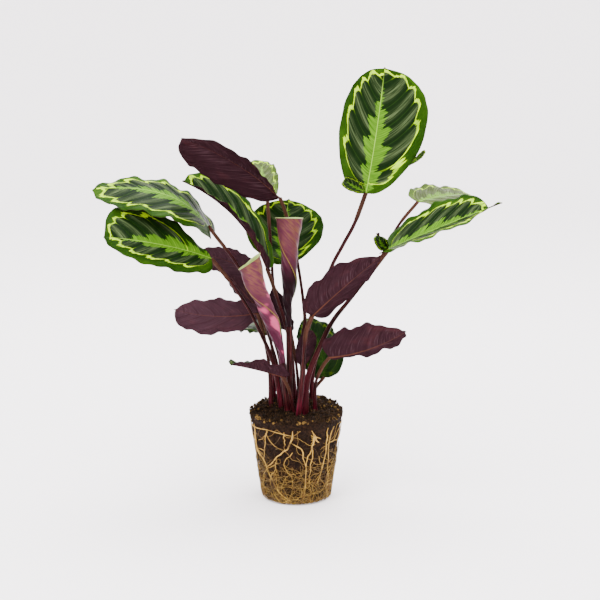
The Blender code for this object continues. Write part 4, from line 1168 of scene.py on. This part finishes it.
radii[front + BACK_ROOTS:] *= CIRCLING_GIRTH
radii *= 0.35 + 0.65 * np.clip(shares / 0.12, 0, 1)      # they start thin, under the rim
arcs = lines[:, :, 0] + ROOT_SWAY * varied(chance, count, shares, SWAYS)
shades = np.concatenate([chance.uniform(0.45, 1.0, front + BACK_ROOTS), CIRCLING_SHADES])
shades[:front] = 0.55 + 0.60 * np.array(FRONT_GIRTHS)    # the thicker, the paler
root_bundle("roots_thick", arcs, lines[:, :, 1], 0.6 * radii + ROOT_LIFT, radii, ROOT_SIDES, shades,
            ["root_net"])
print("thick roots:", count)

# %% [markdown]
# ### The root knot
# At the upper right of the front a few short, plump roots start from one place, like a
# small hand. They are tubes whose headings fan out all round and bend a little as they go.

# %% The root knot
KNOT_ANGLE, KNOT_HEIGHT, KNOT_ROOTS = 24.5, 0.101, 16      # degrees to the right, metres, count
KNOT_STATIONS, KNOT_SIDES = 14, 8

chance = np.random.default_rng(17)
each = (KNOT_ROOTS, 1)
heading = np.radians(np.linspace(-170, 170, KNOT_ROOTS)[:, None] + chance.uniform(-14, 14, each))
heading = heading + chance.uniform(-0.9, 0.9, each) * np.linspace(0, 1, KNOT_STATIONS)
stretch = chance.uniform(0.003, 0.011, each) * (1 + 0.5 * np.cos(heading[:, :1])) / KNOT_STATIONS
middle = math.radians(KNOT_ANGLE) * ball_radius(KNOT_HEIGHT)
arcs = middle + chance.uniform(-0.0014, 0.0014, each) + np.cumsum(np.sin(heading) * stretch, axis=1)
heights = KNOT_HEIGHT + chance.uniform(-0.0022, 0.0022, each)
heights = heights - np.cumsum(np.cos(heading) * stretch, axis=1)
radii = chance.uniform(0.0006, 0.0011, each) * np.linspace(1.0, 0.35, KNOT_STATIONS)
lifts = chance.uniform(0.0006, 0.0030, each) * np.linspace(1.0, 0.3, KNOT_STATIONS)
shades = chance.uniform(0.75, 1.0, KNOT_ROOTS)
root_bundle("roots_knot", arcs, heights, lifts, radii, KNOT_SIDES, shades)
print("roots in the knot:", KNOT_ROOTS)

# %% [markdown]
# ### The fine roots
# Fine roots branch all over the ball and leave the upper middle of the front bare. Hair
# roots make a tan mat near the bottom. Hair particles would draw them fast, but an export
# leaves those out, so each one here is a thin tube with four or six sides.

# %% The fine roots
@dataclass(frozen=True)
class FineRoots:
    """A kind of wandering root. Pairs are the least and the most, in metres."""
    name: str
    count: int
    stations: int       # points along each
    length: float
    wildness: float     # radians that the heading drifts
    heights: tuple      # where they start
    radii: tuple
    taper: tuple        # of the radius, at the start and the end
    lifts: tuple        # over the ball's plain cone
    sides: int
    shades: tuple       # shade = first + second x random^third


FINE_ROOTS = (
    FineRoots("roots_fine", 230, 44, 0.090, 1.5, (0.003, 0.106), (0.00025, 0.00055), (1.1, 0.5),
              (0.0003, 0.0022), 6, (0.05, 0.85, 1.3)),
    FineRoots("roots_hair", 620, 26, 0.045, 2.4, (0.001, 0.066), (0.00014, 0.00030), (1.0, 0.6),
              (0.0002, 0.0028), 4, (0, 0.60, 2.2)),
)
LOWEST, HIGHEST = 0.0015, 0.113                    # metres, where a root turns back
BARE_ANGLE, BARE_HEIGHT, BARE_RISE = 1.1, 0.045, 0.03      # radians and metres of the bare patch


def wandering(chance, kind):
    """Lines that start on the ball and keep turning: heading = start + sum of random turns."""
    start_arc = chance.uniform(-np.pi, np.pi, kind.count)
    low, high = kind.heights
    start = low + (high - low) * chance.uniform(0, 1, kind.count) ** 1.3
    heading = chance.choice([-1.0, 1.0], kind.count) * chance.uniform(0.2, 1.9, kind.count)
    turns = chance.normal(size=(kind.count, kind.stations)) / kind.stations ** 0.5
    heading = heading[:, None] + kind.wildness * np.cumsum(turns, axis=1)
    stretch = kind.length * chance.uniform(0.4, 1.2, (kind.count, 1)) / kind.stations
    arcs = (start_arc * ball_radius(start))[:, None] + np.cumsum(np.sin(heading) * stretch, axis=1)
    heights = start[:, None] - np.cumsum(np.cos(heading) * stretch, axis=1)
    heights = np.abs(heights - LOWEST) + LOWEST
    return arcs, HIGHEST - np.abs(HIGHEST - heights)


def kept_roots(arcs, heights, chance):
    """Which roots stay: few on the upper middle of the front, where bare soil shows."""
    angle = np.abs((arcs[:, 0] / ball_radius(heights[:, 0]) + np.pi) % (2 * np.pi) - np.pi)
    high = np.clip((heights.max(axis=1) - BARE_HEIGHT) / BARE_RISE, 0, 1)
    return chance.uniform(0, 1, len(arcs)) > 0.9 * np.clip(BARE_ANGLE - angle, 0, 1) * high


chance = np.random.default_rng(21)
for kind in FINE_ROOTS:
    arcs, heights = wandering(chance, kind)
    kept = kept_roots(arcs, heights, chance)
    arcs, heights, count = arcs[kept], heights[kept], kept.sum()
    radii = chance.uniform(*kind.radii, (count, 1)) * np.linspace(*kind.taper, kind.stations)
    lifts = chance.uniform(*kind.lifts, (count, 1)) + 0 * radii
    least, span, power = kind.shades
    shades = least + span * chance.uniform(0, 1, count) ** power
    root_bundle(kind.name, arcs, heights, lifts, radii, kind.sides, shades)
    print(kind.name, count)

# %% [markdown]
# ## The floor
# The photograph was taken in a white studio. A pale bowl stands all round the plant, flat
# under it and curving up far behind, so no edge shows from any side.

# %% The bowl
BOWL_FLAT, BOWL_CURVE, BOWL_TOP, BOWL_MIDDLE = 3.2, 1.6, 3.4, 0.5      # metres
BOWL_PALE = (0.97, 0.94, 0.95, 1)
BOWL_SIDES, BOWL_STEPS = 96, 20
UNDER_PLANT = 0.0005                               # from the soil's flat bottom down to the floor

# Flat out to 3.2 m, then a quarter circle of 1.6 m, then straight up.
bend = np.linspace(0, np.pi / 2, BOWL_STEPS)[1:]
radius = np.array([BOWL_MIDDLE, BOWL_FLAT, *(BOWL_FLAT + BOWL_CURVE * np.sin(bend)),
                   BOWL_FLAT + BOWL_CURVE])
height = np.array([0, 0, *(BOWL_CURVE * (1 - np.cos(bend))), BOWL_TOP])
turn = np.linspace(0, 2 * np.pi, BOWL_SIDES, endpoint=False)
points = np.stack([radius[:, None] * np.cos(turn), radius[:, None] * np.sin(turn),
                   np.repeat(height[:, None], BOWL_SIDES, axis=1)], axis=-1).reshape(-1, 3)
faces = ring_walls(len(radius), BOWL_SIDES) + fan(0, BOWL_SIDES, len(points))
mesh = bpy.data.meshes.new("bowl")
mesh.from_pydata([*points.tolist(), (0, 0, 0)], [], faces)
mesh.shade_smooth()
paper, tree, shader = new_material("paper bowl", 0.9, Base_Color=BOWL_PALE, Specular_IOR_Level=0.1)
mesh.materials.append(paper)
bowl = bpy.data.objects.new("bowl", mesh)
bpy.context.scene.collection.objects.link(bowl)
bowl.location.z = -UNDER_PLANT
print("the bowl is", 2 * (BOWL_FLAT + BOWL_CURVE), "m wide")

# %% [markdown]
# ## The light
# One large light hangs to the upper left in front, a weaker one fills from the right, one
# hangs behind the plant, and a pale world lifts the shadows. Large lights give soft edges.

# %% The lights
AIM = (0, 0, 0.35)
LIGHTS = {"key": ((-1.1, -1.5, 2.2), 1.4, 55), "fill": ((1.7, -1.4, 0.9), 1.6, 12),
          "top": ((0.2, 0.7, 2.3), 1.5, 60)}       # place, size in metres and power in watts
WORLD_COLOUR, WORLD_STRENGTH = (1.0, 0.99, 1.0, 1), 4.0

for name, (place, size, watts) in LIGHTS.items():
    data = bpy.data.lights.new(name, "AREA")
    data.energy, data.size = watts, size
    light = bpy.data.objects.new(name, data)
    bpy.context.scene.collection.objects.link(light)
    light.location = place
    x, y, z = np.array(AIM) - np.array(place)      # the beam leaves along -Z
    light.rotation_euler = (math.acos(-z / math.hypot(x, y, z)), 0, math.atan2(y, x) - math.pi / 2)
world = bpy.context.scene.world or bpy.data.worlds.new("World")
bpy.context.scene.world = world
world.use_nodes = True
background = world.node_tree.nodes["Background"].inputs
background["Color"].default_value = WORLD_COLOUR
background["Strength"].default_value = WORLD_STRENGTH
print("lights:", ", ".join(LIGHTS), "and a pale world")
